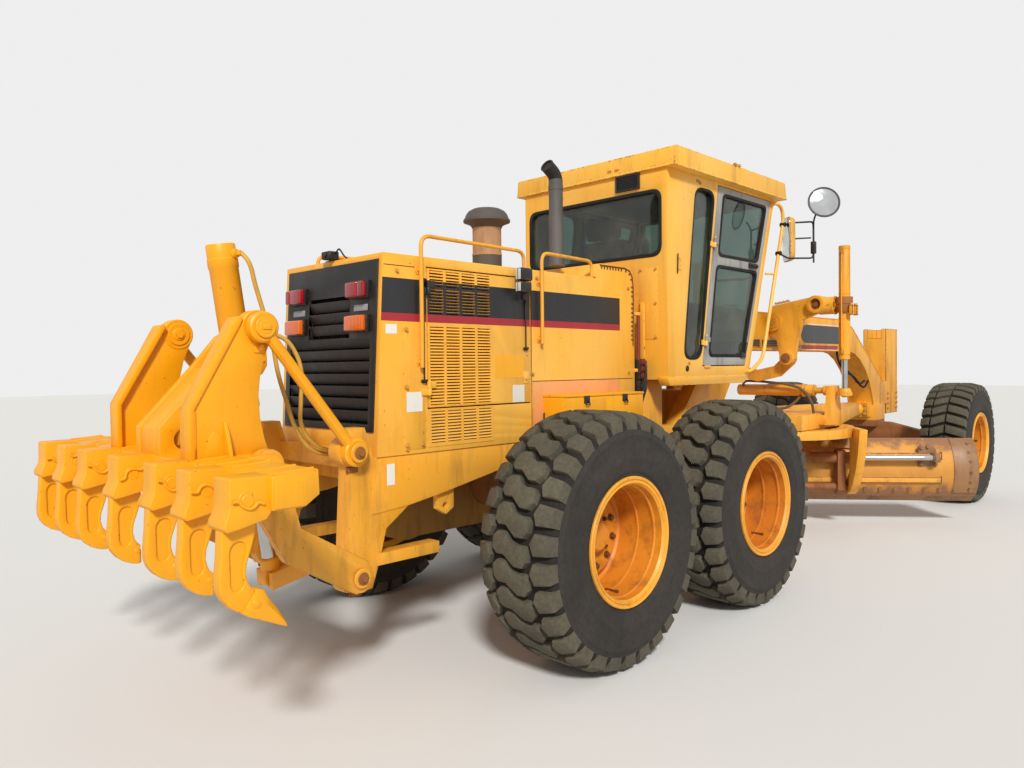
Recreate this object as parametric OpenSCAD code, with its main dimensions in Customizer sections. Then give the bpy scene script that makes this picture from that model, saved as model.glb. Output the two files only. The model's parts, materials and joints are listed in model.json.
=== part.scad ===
// Motor grader with a raised rear ripper, seen standing on its six wheels.
// X is to the right, Y is forward, Z is up. Lengths are in millimetres.

/* [Wheels] */
// Radius of a tyre over its lugs
tyre_r = 745; // [700:5:780]
// Width of a tyre at its sidewalls
tyre_w = 530; // [480:5:560]
// Distance between the tyre centre lines of one axle
track = 2280; // [2200:10:2400]
// Distance between the two tandem wheels of one side
tandem_spacing = 1656; // [1600:4:1700]
// Front axle to the middle of the tandem
wheelbase = 6559; // [6400:1:6700]
// Radius of the rim's outer lip
rim_r = 368; // [340:2:380]
// Depth of the tread lugs
lug_depth = 38; // [25:1:45]
// Number of lug pitches round a rear tyre
rear_pitches = 26; // [20:1:30]
// Number of lug pitches round a front tyre
front_pitches = 28; // [20:1:32]

/* [Rear frame and hood] */
// Half the width of the hood
hood_half_w = 508; // [480:2:540]
// Height of the hood's top
hood_top_z = 2385; // [2300:5:2420]
// Height where the hood meets the frame
hood_base_z = 1262; // [1200:2:1300]
// Rear face of the hood
hood_rear_y = -1880; // [-1920:5:-1840]
// Front face of the hood
hood_front_y = 460; // [420:5:480]
// Thickness of the hood's walls and doors
panel_t = 30; // [20:1:40]
// Half the width of the rear frame over its rails
frame_half_w = 500; // [460:2:520]
// Width of one frame rail
rail_w = 150; // [100:2:180]
// Underside of the frame rails
rail_bottom_z = 1010; // [960:5:1060]

/* [Cab] */
// Half the width of the cab body
cab_half_w = 730; // [700:2:760]
// Half the width of the cab roof
roof_half_w = 810; // [780:2:830]
// Top of the cab roof
roof_top_z = 3390; // [3300:5:3400]
// Thickness of the roof
roof_t = 150; // [120:2:170]
// Underside of the cab
cab_base_z = 1640; // [1600:5:1700]
// Rear face of the cab
cab_rear_y = 580; // [560:5:600]
// Front of the cab at its roof
cab_front_top_y = 2330; // [2250:5:2400]
// Front of the cab at its floor
cab_front_low_y = 1830; // [1780:5:1900]
// Thickness of the cab's posts and walls
cab_wall = 60; // [40:1:80]

/* [Front frame] */
// Articulation pivot, ahead of the tandem's middle
pivot_y = 1750; // [1700:5:1800]
// Half the width of the main beam
beam_half_w = 165; // [140:1:190]
// Top of the main beam
beam_top_z = 2290; // [2250:5:2320]
// Height of the main beam's section
beam_h = 385; // [340:5:420]
// Height of the front upright's top
tower_top_z = 2225; // [2150:5:2280]
// Length of the front upright along the machine
tower_l = 450; // [400:5:500]

/* [Blade] */
// Length of the moldboard
blade_l = 4270; // [4000:10:4400]
// Height of the moldboard with its cutting edge
blade_h = 688; // [640:2:720]
// Thickness of the moldboard
blade_t = 25; // [20:1:32]
// Radius of the moldboard's curve
blade_curve_r = 413; // [400:1:600]
// Turn of the blade away from square, right end forward
blade_yaw = 37; // [0:1:45]
// Gap between the cutting edge and the ground
blade_lift = 240; // [200:2:400]
// Centre of the circle, ahead of the tandem's middle
circle_y = 3720; // [3650:5:3780]
// Outer radius of the circle's gear ring
circle_r = 865; // [820:5:900]

/* [Ripper] */
// Half the spacing of the ripper's tower plates
ripper_half_w = 465; // [440:1:480]
// Rear face of the ripper's shanks
shank_rear_y = -3130; // [-3200:5:-3060]
// Thickness of a shank
shank_t = 90; // [60:1:100]

/* [Hidden] */
tandem_half = tandem_spacing / 2;
wheel_x = track / 2;
wheel_z = tyre_r;
holder_rear_y = shank_rear_y - 90;
tower_rear_y = wheelbase + 341;
front_end_y = tower_rear_y + tower_l;
origin_y = (front_end_y + holder_rear_y) / 2;
clear = 0.3;
gap = 8;
round_fn = 96;

rim_inner_w = 484;
dish_x = -60;
hub_r = 150;
kingpin_x = 830;
tandem_x = 750;
tandem_w = 204;
tandem_h = 572;

yellow = "#F2AE2E";
amber = "#FBB102";
rubber = "#4A4640";
black = "#22201F";
rust = "#A86A35";

// Moves a piece from the tandem's middle to the part's own origin
module placed() {
  translate([0, -origin_y, 0]) children();
}

// A rod between two points
module rod_between(a, b, r) {
  d = b - a;
  len = norm(d);
  translate(a)
    rotate([0, acos(d[2] / len), atan2(d[1], d[0])])
      cylinder(h = len, r = r, $fn = round_fn);
}

// A plate drawn in the Y-Z plane, from x0 to x1
module side_plate(x0, x1, points) {
  translate([x0, 0, 0])
    rotate([90, 0, 90])
      linear_extrude(height = x1 - x0) polygon(points);
}

// A round pin along X
module pin_x(x0, x1, y, z, r) {
  translate([x0, y, z]) rotate([0, 90, 0]) cylinder(h = x1 - x0, r = r, $fn = round_fn);
}

module both_sides() {
  children();
  mirror([1, 0, 0]) children();
}

// Tyre section: half widths and radii from bead to crown
tyre_bead_r = rim_r - 14;
carcass_r = tyre_r - lug_depth;
tyre_section = [
  [-0.44, tyre_bead_r], [-0.5, tyre_bead_r + 60], [-0.5, tyre_bead_r + 150], [-0.46, carcass_r - 70],
  [-0.40, carcass_r - 18], [-0.2, carcass_r - 2], [0, carcass_r], [0.2, carcass_r - 2],
  [0.40, carcass_r - 18], [0.46, carcass_r - 70], [0.5, tyre_bead_r + 150], [0.5, tyre_bead_r + 60],
  [0.44, tyre_bead_r]
];

// One shoulder lug, reaching from the tread's edge past its middle
module lug(side, pitch_l) {
  w = tyre_w * 0.47;
  translate([0, 0, carcass_r - 30])
    linear_extrude(height = lug_depth + 40)
      polygon([
        [side * w, -pitch_l * 0.30], [side * w, pitch_l * 0.30],
        [side * w * 0.35, pitch_l * 0.34], [-side * w * 0.10, pitch_l * 0.02],
        [-side * w * 0.10, -pitch_l * 0.46], [side * w * 0.35, -pitch_l * 0.22]
      ]);
}

module tyre(pitches) {
  pitch_l = 2 * PI * tyre_r / pitches;
  color(rubber) {
    rotate([0, 90, 0]) rotate_extrude($fn = round_fn)
      polygon([for (p = tyre_section) [p[1], p[0] * tyre_w]]);
    intersection() {
      for (i = [0:pitches - 1], side = [-1, 1])
        rotate([(i + (side > 0 ? 0.5 : 0)) * 360 / pitches, 0, 0]) lug(side, pitch_l);
      pin_x(-tyre_w / 2, tyre_w / 2, 0, 0, tyre_r);
    }
  }
}

// Rim: barrel with lips, dished disc and stud circle; the disc faces +X
module rim(disc_x) {
  lip = 14;
  well = 20;
  half = rim_inner_w / 2;
  seat_r = tyre_bead_r - clear;
  color("#E39A2B") difference() {
    rotate([0, 90, 0]) rotate_extrude($fn = round_fn)
      polygon([
        [rim_r, -half - lip], [rim_r, -half], [seat_r, -half], [seat_r, half], [rim_r, half],
        [rim_r, half + lip], [seat_r - well, half + lip], [seat_r - well, disc_x + 18],
        [hub_r + 70, disc_x + 40], [hub_r, disc_x + 40], [hub_r, disc_x + 110], [40, disc_x + 110],
        [40, disc_x], [hub_r + 70, disc_x], [seat_r - well, disc_x - 18], [seat_r - well, -half - lip]
      ]);
    for (a = [0:30:359]) rotate([a, 0, 0])
      translate([disc_x - 50, 0, hub_r + 35]) rotate([0, 90, 0]) cylinder(h = 150, r = 11, $fn = 24);
  }
}

module wheel_at(side, y, z = wheel_z) {
  translate([side * wheel_x, y, z]) scale_side(side) children();
}

module scale_side(side) {
  if (side > 0) children();
  else mirror([1, 0, 0]) children();
}

// Rear frame with its rails, bumper, cab posts and hitch plates
hitch_plates = [[1470, 60], [960, 60]];
rail_mid_z = rail_bottom_z + 90;
cross_top_z = 1235;
post_x = 495;
foot_half_w = 40;
boss_r = 78;
module rear_frame() {
  rails = [
    [hood_rear_y - 61, hood_base_z], [hood_rear_y - 93, rail_bottom_z - 57], [hood_rear_y + 163, rail_bottom_z - 37],
    [hood_rear_y + 430, rail_bottom_z + 5], [-1000, rail_mid_z], [900, rail_mid_z], [1300, rail_bottom_z],
    [1560, rail_bottom_z], [1560, hood_base_z + 190], [1250, hood_base_z]
  ];
  post = [
    [rip_upper[0] - 13, 1430], [rip_upper[0] + 90, 1430], [hood_rear_y - 75, hood_base_z],
    [hood_rear_y - 61, hood_base_z], [hood_rear_y + 163, 1010], [hood_rear_y + 163, rail_bottom_z - 37],
    [hood_rear_y + 5, 863], [hood_rear_y - 40, 706], [hood_rear_y - 92, 552], [rip_lower[0], 545],
    [rip_lower[0] - 60, 565], [rip_lower[0] - 92, 630], [rip_lower[0] - 50, 785], [rip_upper[0] - 17, 1178]
  ];
  color(yellow) {
    both_sides() {
      side_plate(frame_half_w - rail_w, frame_half_w, rails);
      // Post that holds the ripper's links
      side_plate(post_x - 95, post_x, post);
      for (p = [rip_upper, rip_lower]) {
        pin_x(post_x - 95, post_x + 4, p[0], p[1], boss_r);
        pin_x(post_x - 20, link_x1 + 15, p[0], p[1], rip_pin_r);
      }
      // Lower bar and towing lug
      translate([frame_half_w - 90, hood_rear_y - 70, 668]) cube([90, 450, 65]);
      difference() {
        side_plate(frame_half_w - 70, frame_half_w - 30, [
          [-1482, 1015], [-1482, 914], [-1416, 875], [-1356, 911], [-1355, 1040]
        ]);
        pin_x(frame_half_w - 80, frame_half_w - 20, -1422, 930, 20);
      }
      // Cab posts
      translate([frame_half_w - 90, 560, hood_base_z - 10]) cube([90, 280, cab_base_z - hood_base_z + 10]);
      side_plate(frame_half_w - 120, frame_half_w, [
        [1030, 1210], [1500, 1210], [1620, cab_base_z], [1400, cab_base_z]
      ]);
    }
    // Cross members and hitch
    for (y = [hood_rear_y - 20, -900, 400, 1380])
      translate([-frame_half_w + rail_w - 1, y, rail_mid_z + 5])
        cube([2 * (frame_half_w - rail_w) + 2, 120, cross_top_z - rail_mid_z - 5]);
    translate([-post_x + 90, hood_rear_y - 130, 1195]) cube([2 * post_x - 180, 30, 110]);
    // Lower cross tube with the lugs of the ripper cylinder's foot
    pin_x(-post_x + 90, post_x - 90, rip_lower[0], rip_lower[1], 55);
    both_sides() side_plate(foot_half_w + gap, foot_half_w + gap + 40, [
      [rip_lower[0] + 30, rip_lower[1] + 50], [rip_lower[0] + 30, rip_lower[1] - 50],
      [rod_foot[0] - 40, rod_foot[1] - 60], [rod_foot[0] - 46, rod_foot[1] + 30]
    ]);
    for (p = hitch_plates) translate([0, 0, p[0]]) difference() {
      union() {
        translate([-300, 1400, 0]) cube([600, 350, p[1]]);
        translate([0, pivot_y, 0]) cylinder(h = p[1], r = 150, $fn = round_fn);
      }
      translate([0, pivot_y, -1]) cylinder(h = p[1] + 2, r = 45.05, $fn = round_fn);
    }
    translate([-350, 1400, 960]) cube([700, 100, 570]);
  }
}

module engine_block() {
  color("#3A3733") translate([-260, -1150, cross_top_z + clear]) cube([520, 1560, 800]);
}

door_y = [-1580, -700];
door_z = [1510, 2330];
hinge_r = 8;
louvre_y = -1560;
louvre_w = 125;
cowl_y = 0;
cowl_z = hood_top_z + 105;
grille_half_w = 470;
grille_z = [1396, 2352];
module hood_shell() {
  color(yellow) difference() {
    side_hood(0);
    side_hood(panel_t);
    translate([-hood_half_w + panel_t, hood_rear_y - 10, hood_base_z - 5])
      cube([2 * (hood_half_w - panel_t), hood_front_y - hood_rear_y - 30, 60]);
    // Grille opening at the rear
    translate([-grille_half_w - clear, hood_rear_y - 150, grille_z[0] - clear])
      cube([2 * (grille_half_w + clear), 300, grille_z[1] - grille_z[0] + 2 * clear]);
    // Lower louvres, below the doors
    both_sides() for (c = [0:3], r = [0:2])
      translate([hood_half_w - panel_t - 5, louvre_y + c * louvre_w, door_z[0] - 190 + r * 60]) cube([panel_t + 10, 95, 18]);
    // Engine door openings
    both_sides() translate([hood_half_w - panel_t - 5, door_y[0], door_z[0]])
      cube([panel_t + 10, door_y[1] - door_y[0], door_z[1] - door_z[0]]);
  }
  color(yellow) both_sides() for (z = [door_z[0] + 80, door_z[1] - 160])
    wall_knuckle(hood_half_w, door_y[0] + gap, z);
}

// Hood body drawn across X; inset by t on the five closed sides
module side_hood(t) {
  translate([-hood_half_w + t, 0, 0]) side_plate(0, 2 * (hood_half_w - t), [
    [hood_rear_y - 60 + t, hood_base_z + t], [hood_rear_y + t, hood_top_z - t],
    [cowl_y + t, hood_top_z - t], [cowl_y + 45 + t, cowl_z - t], [hood_front_y - 100, cowl_z - t],
    [hood_front_y - 30 - t * 0.7, cowl_z - 35 - t * 0.7], [hood_front_y - t, cowl_z - 110],
    [hood_front_y - t, hood_base_z + t]
  ]);
}

module engine_door() {
  color(yellow) {
    difference() {
      translate([hood_half_w - panel_t, door_y[0] + gap, door_z[0] + gap])
        cube([panel_t, door_y[1] - door_y[0] - 2 * gap, door_z[1] - door_z[0] - 2 * gap]);
      for (c = [0:3], r = [0:10])
        translate([hood_half_w - panel_t - 1, louvre_y + c * louvre_w, door_z[0] + 40 + r * 60 + (r > 7 ? 50 : 0)])
          cube([panel_t + 2, 95, 18]);
    }
    for (z = [door_z[0] + 80, door_z[1] - 160]) door_knuckle(hood_half_w, door_y[0] + gap, z);
  }
}

// A door's hinge turns about a fixed pin that stands off the wall at x; y is the door's edge
hinge_off = 14;
module door_knuckle(x, y, z) {
  translate([0, 0, z + 40.3]) difference() {
    union() {
      translate([x + hinge_off, y - gap / 2, 0]) cylinder(h = 40, r = 14, $fn = 48);
      translate([x, y, 0]) cube([12, 50, 40]);
    }
    translate([x + hinge_off, y - gap / 2, -1]) cylinder(h = 42, r = hinge_r + 0.05, $fn = 48);
  }
}
module wall_knuckle(x, y, z) {
  translate([x + hinge_off, y - gap / 2, z]) {
    cylinder(h = 40, r = 14, $fn = 48);
    cylinder(h = 90, r = hinge_r, $fn = 48);
  }
  translate([x, y - gap - 50, z]) cube([12, 50 + gap / 2, 40]);
}

// Rear face of the hood at a height
function hood_slope(z) = hood_rear_y - 60 * (hood_top_z - z) / (hood_top_z - hood_base_z);
module rear_grille() {
  color(black) {
    difference() {
      side_plate(-grille_half_w, grille_half_w, [
        [hood_slope(grille_z[0]) - 8, grille_z[0]], [hood_slope(grille_z[1]) - 8, grille_z[1]],
        [hood_slope(grille_z[1]) + 40, grille_z[1]], [hood_slope(grille_z[0]) + 40, grille_z[0]]
      ]);
      translate([-420, hood_rear_y - 150, 1436]) cube([840, 300, 480]);
      translate([-215, hood_rear_y - 150, 1916 - 1]) cube([430, 300, 250]);
    }
    for (i = [0:6]) translate([-420.5, hood_slope(1450 + i * 69) + 18, 1450 + i * 69]) rotate([20, 0, 0]) cube([841, 12, 62]);
    for (i = [0:2]) translate([-215.5, hood_slope(1945 + i * 69) + 18, 1945 + i * 69]) rotate([20, 0, 0]) cube([431, 12, 62]);
  }
}

// Lamps: side, height, colour
lamp_table = [[1, 2140, "#B51212"], [1, 1952, "#E8730F"], [-1, 2140, "#B51212"], [-1, 1952, "#E8730F"]];
module rear_lamps() {
  for (l = lamp_table) color(l[2]) side_plate(l[0] * 325 - 88, l[0] * 325 + 88, [
    [hood_slope(l[1]) - 65, l[1]], [hood_slope(l[1]) - 65, l[1] + 100],
    [hood_slope(l[1] + 100) - 8 - clear, l[1] + 100], [hood_slope(l[1]) - 8 - clear, l[1]]
  ]);
}

module precleaner() {
  color("#6B4A34") translate([0, -600, hood_top_z]) {
    cylinder(h = 330, r = 120, $fn = round_fn);
    translate([0, 0, 330]) cylinder(h = 60, r1 = 120, r2 = 185, $fn = round_fn);
    translate([0, 0, 390]) cylinder(h = 60, r = 185, $fn = round_fn);
    translate([0, 0, 450]) cylinder(h = 40, r1 = 185, r2 = 120, $fn = round_fn);
  }
}

module exhaust_stack() {
  color(black) translate([180, -60, hood_top_z]) {
    cylinder(h = 700, r = 52, $fn = round_fn);
    translate([0, 0, 690]) sphere(r = 52, $fn = round_fn);
    translate([0, 0, 690]) rotate([60, 0, 0]) cylinder(h = 150, r = 52, $fn = round_fn);
  }
}

// Handrail routes: leg y, lowest z of the leg, y where the rail comes down on the hood
rail_routes = [[-1640, 1750, -740], [-620, 1900, -30]];
rail_z = 2500;
module handrails() {
  x = hood_half_w + 30;
  color(yellow) both_sides() for (r = rail_routes) {
    rod_between([x, r[0], r[1]], [x, r[0], rail_z], 16);
    rod_between([x, r[0], rail_z], [x - 50, r[2], rail_z], 16);
    rod_between([x - 50, r[2], rail_z], [x - 50, r[2], hood_top_z + clear], 16);
    for (z = [r[1] + 30, hood_top_z - 80]) pin_x(hood_half_w + clear, x, r[0], z, 12);
    translate([x, r[0], rail_z]) sphere(r = 21, $fn = 32);
    translate([x - 50, r[2], rail_z]) sphere(r = 21, $fn = 32);
  }
}

module side_boxes() {
  color(amber) both_sides() {
    translate([hood_half_w + clear, -590, 1300]) cube([200, 880, 260]);
  }
}

// Cab side outline at distance t inside the outer faces
function cab_outline(t, base, top) = [
  [cab_rear_y + t, base], [cab_rear_y + t, top], [cab_front_top_y - t, top], [cab_front_low_y - t, base]
];
cab_top_z = roof_top_z - roof_t;
cab_slope = (cab_front_top_y - cab_front_low_y) / (cab_top_z - cab_base_z);
// Door edges lean forward: [y at door_z0, lean]
door_z0 = cab_base_z + 106;
door_z1 = cab_top_z - 25;
door_rear = [1083, 0.1757];
door_front = [1771, 0.3355];
function lean_y(e, z) = e[0] + (z - door_z0) * e[1];
function lean_quad(e0, d0, e1, d1, z0, z1) = [
  [lean_y(e0, z0) + d0, z0], [lean_y(e0, z1) + d0, z1], [lean_y(e1, z1) - d1, z1], [lean_y(e1, z0) - d1, z0]
];
side_window = [802, 1054, 1800, cab_top_z - 90];
side_window_pts = [
  [side_window[0], side_window[2]], [side_window[0] + 180, side_window[3]], [side_window[1] + 219, side_window[3]],
  [side_window[1], side_window[2]]
];
rear_window_z = [cab_top_z - 650, cab_top_z - 160];
windscreen_z = [2050, cab_top_z - 60];
module cab_shell() {
  color(yellow) difference() {
    side_plate(-cab_half_w, cab_half_w, cab_outline(0, cab_base_z, cab_top_z - clear));
    side_plate(-cab_half_w + cab_wall, cab_half_w - cab_wall, cab_outline(cab_wall, cab_base_z + 60, cab_top_z + 10));
    // Rear window
    translate([-cab_half_w + 62, cab_rear_y - 5, rear_window_z[0]])
      cube([2 * cab_half_w - 124, cab_wall + 10, rear_window_z[1] - rear_window_z[0]]);
    // Side windows and door openings
    both_sides() {
      side_plate(cab_half_w - cab_wall - 5, cab_half_w + 5, side_window_pts);
      side_plate(cab_half_w - cab_wall - 5, cab_half_w + 5,
        lean_quad(door_rear, -gap, door_front, -gap, door_z0 - gap, door_z1 + gap));
    }
    // Windscreen, in the slanting front
    side_plate(-640, 640, [
      [cab_front_low_y - 200, windscreen_z[0]], [cab_front_top_y - 200, windscreen_z[1]],
      [cab_front_top_y + 200, windscreen_z[1]], [cab_front_low_y + 400, windscreen_z[0]]
    ]);
  }
  color(yellow) both_sides() for (z = cab_hinge_z) on_door_edge(z) wall_knuckle(cab_half_w, 0, 0);
}

module cab_roof() {
  color(yellow) translate([-roof_half_w, 0, 0]) side_plate(0, 2 * roof_half_w, [
    [cab_rear_y - 20, cab_top_z], [cab_rear_y - 10, roof_top_z], [cab_front_top_y + 60, roof_top_z],
    [cab_front_top_y + 90, cab_top_z]
  ]);
}

module cab_glass() {
  color([0.2, 0.25, 0.25, 0.4]) {
    translate([-cab_half_w + 62 + clear, cab_rear_y + 20, rear_window_z[0] + clear])
      cube([2 * (cab_half_w - 62 - clear), 8, rear_window_z[1] - rear_window_z[0] - 2 * clear]);
    both_sides() side_plate(cab_half_w - 35, cab_half_w - 27, [
      side_window_pts[0] + [clear, clear], side_window_pts[1] + [clear, -clear],
      side_window_pts[2] + [-clear, -clear], side_window_pts[3] + [-clear, clear]
    ]);
    side_plate(-640 + clear, 640 - clear, [for (p = [
      [windscreen_z[0] + clear, 28], [windscreen_z[1] - clear, 28], [windscreen_z[1] - clear, 20],
      [windscreen_z[0] + clear, 20]
    ]) [cab_front_low_y + (p[0] - cab_base_z) * cab_slope - p[1], p[0]]]);
  }
}

module cab_interior() {
  color("#2B2A2A") {
    // Seat on its pedestal
    side_plate(-260, 260, [[780, 2080], [700, 2820], [800, 2840], [890, 2200], [1300, 2220], [1300, 2080]]);
    translate([-150, 900, cab_base_z + 60]) cube([300, 300, 400]);
    // Console, column and steering wheel
    side_plate(-90, 90, [[1560, cab_base_z + 60], [1500, 2300], [1560, 2340], [1700, cab_base_z + 60]]);
    translate([0, 1500, 2280]) rotate([25, 0, 0]) {
      cylinder(h = 150, r = 28, $fn = 48);
      translate([0, 0, 130]) difference() {
        cylinder(h = 28, r = 200, $fn = round_fn);
        for (a = [0:120:359]) rotate([0, 0, a]) translate([95, 0, -1]) cylinder(h = 30, r = 70, $fn = 48);
      }
    }
  }
}

// The door hangs on its rear edge, which leans; children stand at height z with their Z along the edge
cab_hinge_z = [1900, 2700];
door_tilt = atan(door_rear[1]);
module on_door_edge(z) {
  translate([0, lean_y(door_rear, z), z]) rotate([-door_tilt, 0, 0]) children();
}
module cab_door() {
  color("#B9BCBB") for (z = cab_hinge_z) on_door_edge(z) door_knuckle(cab_half_w, 0, 0);
  color("#B9BCBB") difference() {
    side_plate(cab_half_w - 40, cab_half_w, lean_quad(door_rear, 0, door_front, 0, door_z0, door_z1));
    side_plate(cab_half_w - 45, cab_half_w + 5, lean_quad(door_rear, 90, door_front, 65, 1815, 2568));
    side_plate(cab_half_w - 45, cab_half_w + 5, lean_quad(door_rear, 105, door_front, 85, 2640, door_z1 - 50));
  }
}

// Grab rails in front of the doors: points of the rail
cab_rail_points = [
  [cab_half_w + clear, cab_front_top_y - 38, cab_top_z - 40], [cab_half_w + 50, cab_front_top_y - 38, cab_top_z - 40],
  [cab_half_w + 50, cab_front_top_y + 60, cab_top_z - 74], [cab_half_w + 50, cab_front_top_y + 82, cab_top_z - 190],
  [cab_half_w + 50, cab_front_low_y + 171, 1802], [cab_half_w + 50, cab_front_low_y - 49, 1690],
  [cab_half_w + clear, cab_front_low_y - 49, 1690]
];
module cab_rails() {
  color(yellow) both_sides() {
    for (i = [0:5]) rod_between(cab_rail_points[i], cab_rail_points[i + 1], 16);
    for (i = [1:5]) translate(cab_rail_points[i]) sphere(r = 20, $fn = 32);
  }
}

// Mirrors hang on the grab rails: a tall one and a round one
module mirrors() {
  x = cab_half_w + 50;
  y = cab_front_top_y + 82;
  z = cab_top_z - 190;
  color(black) both_sides() {
    for (b = [[-10, -30, -30], [-99, -300, -345]]) {
      pin_x(x + 16 + clear, x + 70, y + b[0], z + b[1], 11);
      translate([x + 70, y + b[0], z + b[1]]) sphere(r = 14, $fn = 32);
      rod_between([x + 70, y + b[0], z + b[1]], [x + 240, y + 90, z + b[2]], 11);
    }
    translate([x + 240, y + 90, z - 400]) cylinder(h = 420, r = 12, $fn = 32);
    translate([x + 39, y + 37, z - 370]) rotate([0, 0, 45]) translate([-29, -100, 0]) cube([58, 200, 410]);
    rod_between([x + 240, y + 90, z + 10], [x + 364, y + 30, z + 60], 9);
    translate([x + 355, y + 38, z + 130]) rotate([90, 0, 45]) cylinder(h = 32, r = 140, $fn = round_fn);
  }
}

module rear_axle() {
  color("#8A5A22") {
    pin_x(-tandem_x + tandem_w / 2, tandem_x - tandem_w / 2, 0, wheel_z + 60, 190);
    translate([-280, -260, wheel_z - 60]) cube([560, 520, 320]);
    both_sides() translate([frame_half_w - rail_w, -150, wheel_z + 100])
      cube([rail_w, 300, rail_mid_z - clear - wheel_z - 100]);
  }
}

module tandem_case() {
  color("#9C7A35") {
    translate([tandem_x - tandem_w / 2, -tandem_half, wheel_z - tandem_h / 2 + 15])
      cube([tandem_w, tandem_spacing, tandem_h - 30]);
    for (s = [-1, 1]) {
      pin_x(tandem_x - tandem_w / 2 - 2, tandem_x + tandem_w / 2 + 2, s * tandem_half, wheel_z, tandem_h / 2);
      pin_x(tandem_x + 20, wheel_x + dish_x - clear, s * tandem_half, wheel_z, 140);
    }
  }
}

// Main beam, gooseneck and hitch of the front frame, drawn from the side
beam_low_z = beam_top_z - beam_h;
module front_frame() {
  color(yellow) {
    difference() {
      side_plate(-beam_half_w, beam_half_w, [
        [1660, 1040], [1660, 1455], [1980, 1455], [2500, beam_top_z - 60], [2760, beam_top_z],
        [wheelbase - 1160, beam_top_z], [wheelbase - 900, beam_top_z - 90], [wheelbase - 100, 1680],
        [wheelbase + 191, 1500], [tower_rear_y, 1500], [tower_rear_y, 1190], [wheelbase - 159, 1190],
        [wheelbase - 210, 1330], [wheelbase - 300, 1500], [wheelbase - 450, 1665], [wheelbase - 640, 1800],
        [wheelbase - 840, 1880], [wheelbase - 1000, beam_low_z],
        [3060, beam_low_z], [2760, beam_low_z - 60], [2160, 1040]
      ]);
      translate([-200, 1560, 1100]) cube([400, 300, 280]);
    }
    for (z = [[1040, 60], [1380, 75]]) translate([0, 0, z[0]]) difference() {
      union() {
        translate([-165, 1700, 0]) cube([330, 260, z[1]]);
        translate([0, pivot_y, 0]) cylinder(h = z[1], r = 145, $fn = round_fn);
      }
      translate([0, pivot_y, -1]) cylinder(h = z[1] + 2, r = 30, $fn = round_fn);
    }
    // Pivot pins
    translate([0, pivot_y, 930]) cylinder(h = 170, r = 45, $fn = round_fn);
    translate([0, pivot_y, 1385]) cylinder(h = 180, r = 45, $fn = round_fn);
    // Bolster over the front axle, with the socket of the drawbar's ball behind it
    translate([-190, wheelbase - 179, 985]) cube([380, 360, 206]);
    difference() {
      translate([-130, ball_y + 10, ball_z - 95]) cube([260, 120, 190]);
      translate([0, ball_y, ball_z]) sphere(r = ball_r + clear, $fn = round_fn);
    }
  }
}

module front_upright() {
  color(yellow) difference() {
    translate([-150, tower_rear_y + clear, 1050]) cube([300, tower_l - clear, tower_top_z - 1050]);
    translate([-120, tower_rear_y + 30, 1500]) cube([240, tower_l - 60, tower_top_z]);
    translate([-90, tower_rear_y - 10, tower_top_z - 130]) cube([180, 60, 200]);
  }
}

lift_y = 3650;
lift_trunnion_z = 2350;
lift_x = 850;
// Arms of the lift cylinders, each a bent plate across the beam, and the curved bar that links them below
arm_plate_y = [3380, 3440];
lift_pin = [362, 1812];
// Lower and upper end of a lift cylinder's barrel
lift_barrel_z = [1785, 2950];
module cross_plate(y0, y1, points) {
  translate([0, y1, 0]) rotate([90, 0, 0]) linear_extrude(height = y1 - y0) polygon(points);
}
module pin_y(y0, y1, x, z, r) {
  translate([x, y1, z]) rotate([90, 0, 0]) cylinder(h = y1 - y0, r = r, $fn = round_fn);
}
module lift_arms() {
  color(yellow) {
    both_sides() difference() {
      union() {
        cross_plate(arm_plate_y[0], arm_plate_y[1], [
          [120, 2270], [210, 2365], [600, 2425], [700, 2440], [780, 2350], [700, 2265], [530, 2205],
          [470, 2000], [440, 1800], [362, 1742], [285, 1800], [250, 2000], [120, 2100]
        ]);
        pin_y(3350, 3480, 215, 2190, 95);
        pin_y(3350, 3470, lift_pin[0], lift_pin[1], 72);
        pin_y(3330, lift_y, 676, lift_trunnion_z, 88);
        pin_x(600, lift_x - 85, lift_y, lift_trunnion_z, 90);
      }
      translate([-beam_half_w - clear, 3000, beam_low_z - 10]) cube([2 * (beam_half_w + clear), 1000, beam_h + 100]);
      pin_x(lift_x - 160, lift_x, lift_y, lift_trunnion_z, 35.05);
      pin_y(3320, 3370, 676, lift_trunnion_z, 58);
    }
    cross_plate(arm_plate_y[1] + clear, arm_plate_y[1] + 50, [
      [-420, 1850], [-330, 1860], [-190, 1730], [0, 1690], [190, 1730], [330, 1860], [420, 1850],
      [400, 1750], [250, 1620], [0, 1565], [-250, 1620], [-400, 1750]
    ]);
  }
}

module lift_barrel(side) {
  color(yellow) translate([side * lift_x, lift_y, 0]) {
    difference() {
      union() {
        translate([0, 0, lift_barrel_z[0]]) cylinder(h = lift_barrel_z[1] - lift_barrel_z[0], r = 68, $fn = round_fn);
        translate([0, 0, lift_trunnion_z - 80]) cylinder(h = 160, r = 80, $fn = round_fn);
        scale_side(side) pin_x(-155, -60, 0, lift_trunnion_z, 35);
      }
      translate([0, 0, lift_barrel_z[0] - 1]) cylinder(h = lift_barrel_z[1] - lift_barrel_z[0] - 40, r = 38.1, $fn = round_fn);
    }
  }
}

module lift_rod(side) {
  color("#C9CCD0") translate([side * lift_x, lift_y, 0]) {
    translate([0, 0, 1500]) cylinder(h = 1150, r = 38, $fn = round_fn);
    translate([0, 0, 1450]) sphere(r = 75, $fn = round_fn);
  }
}

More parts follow.
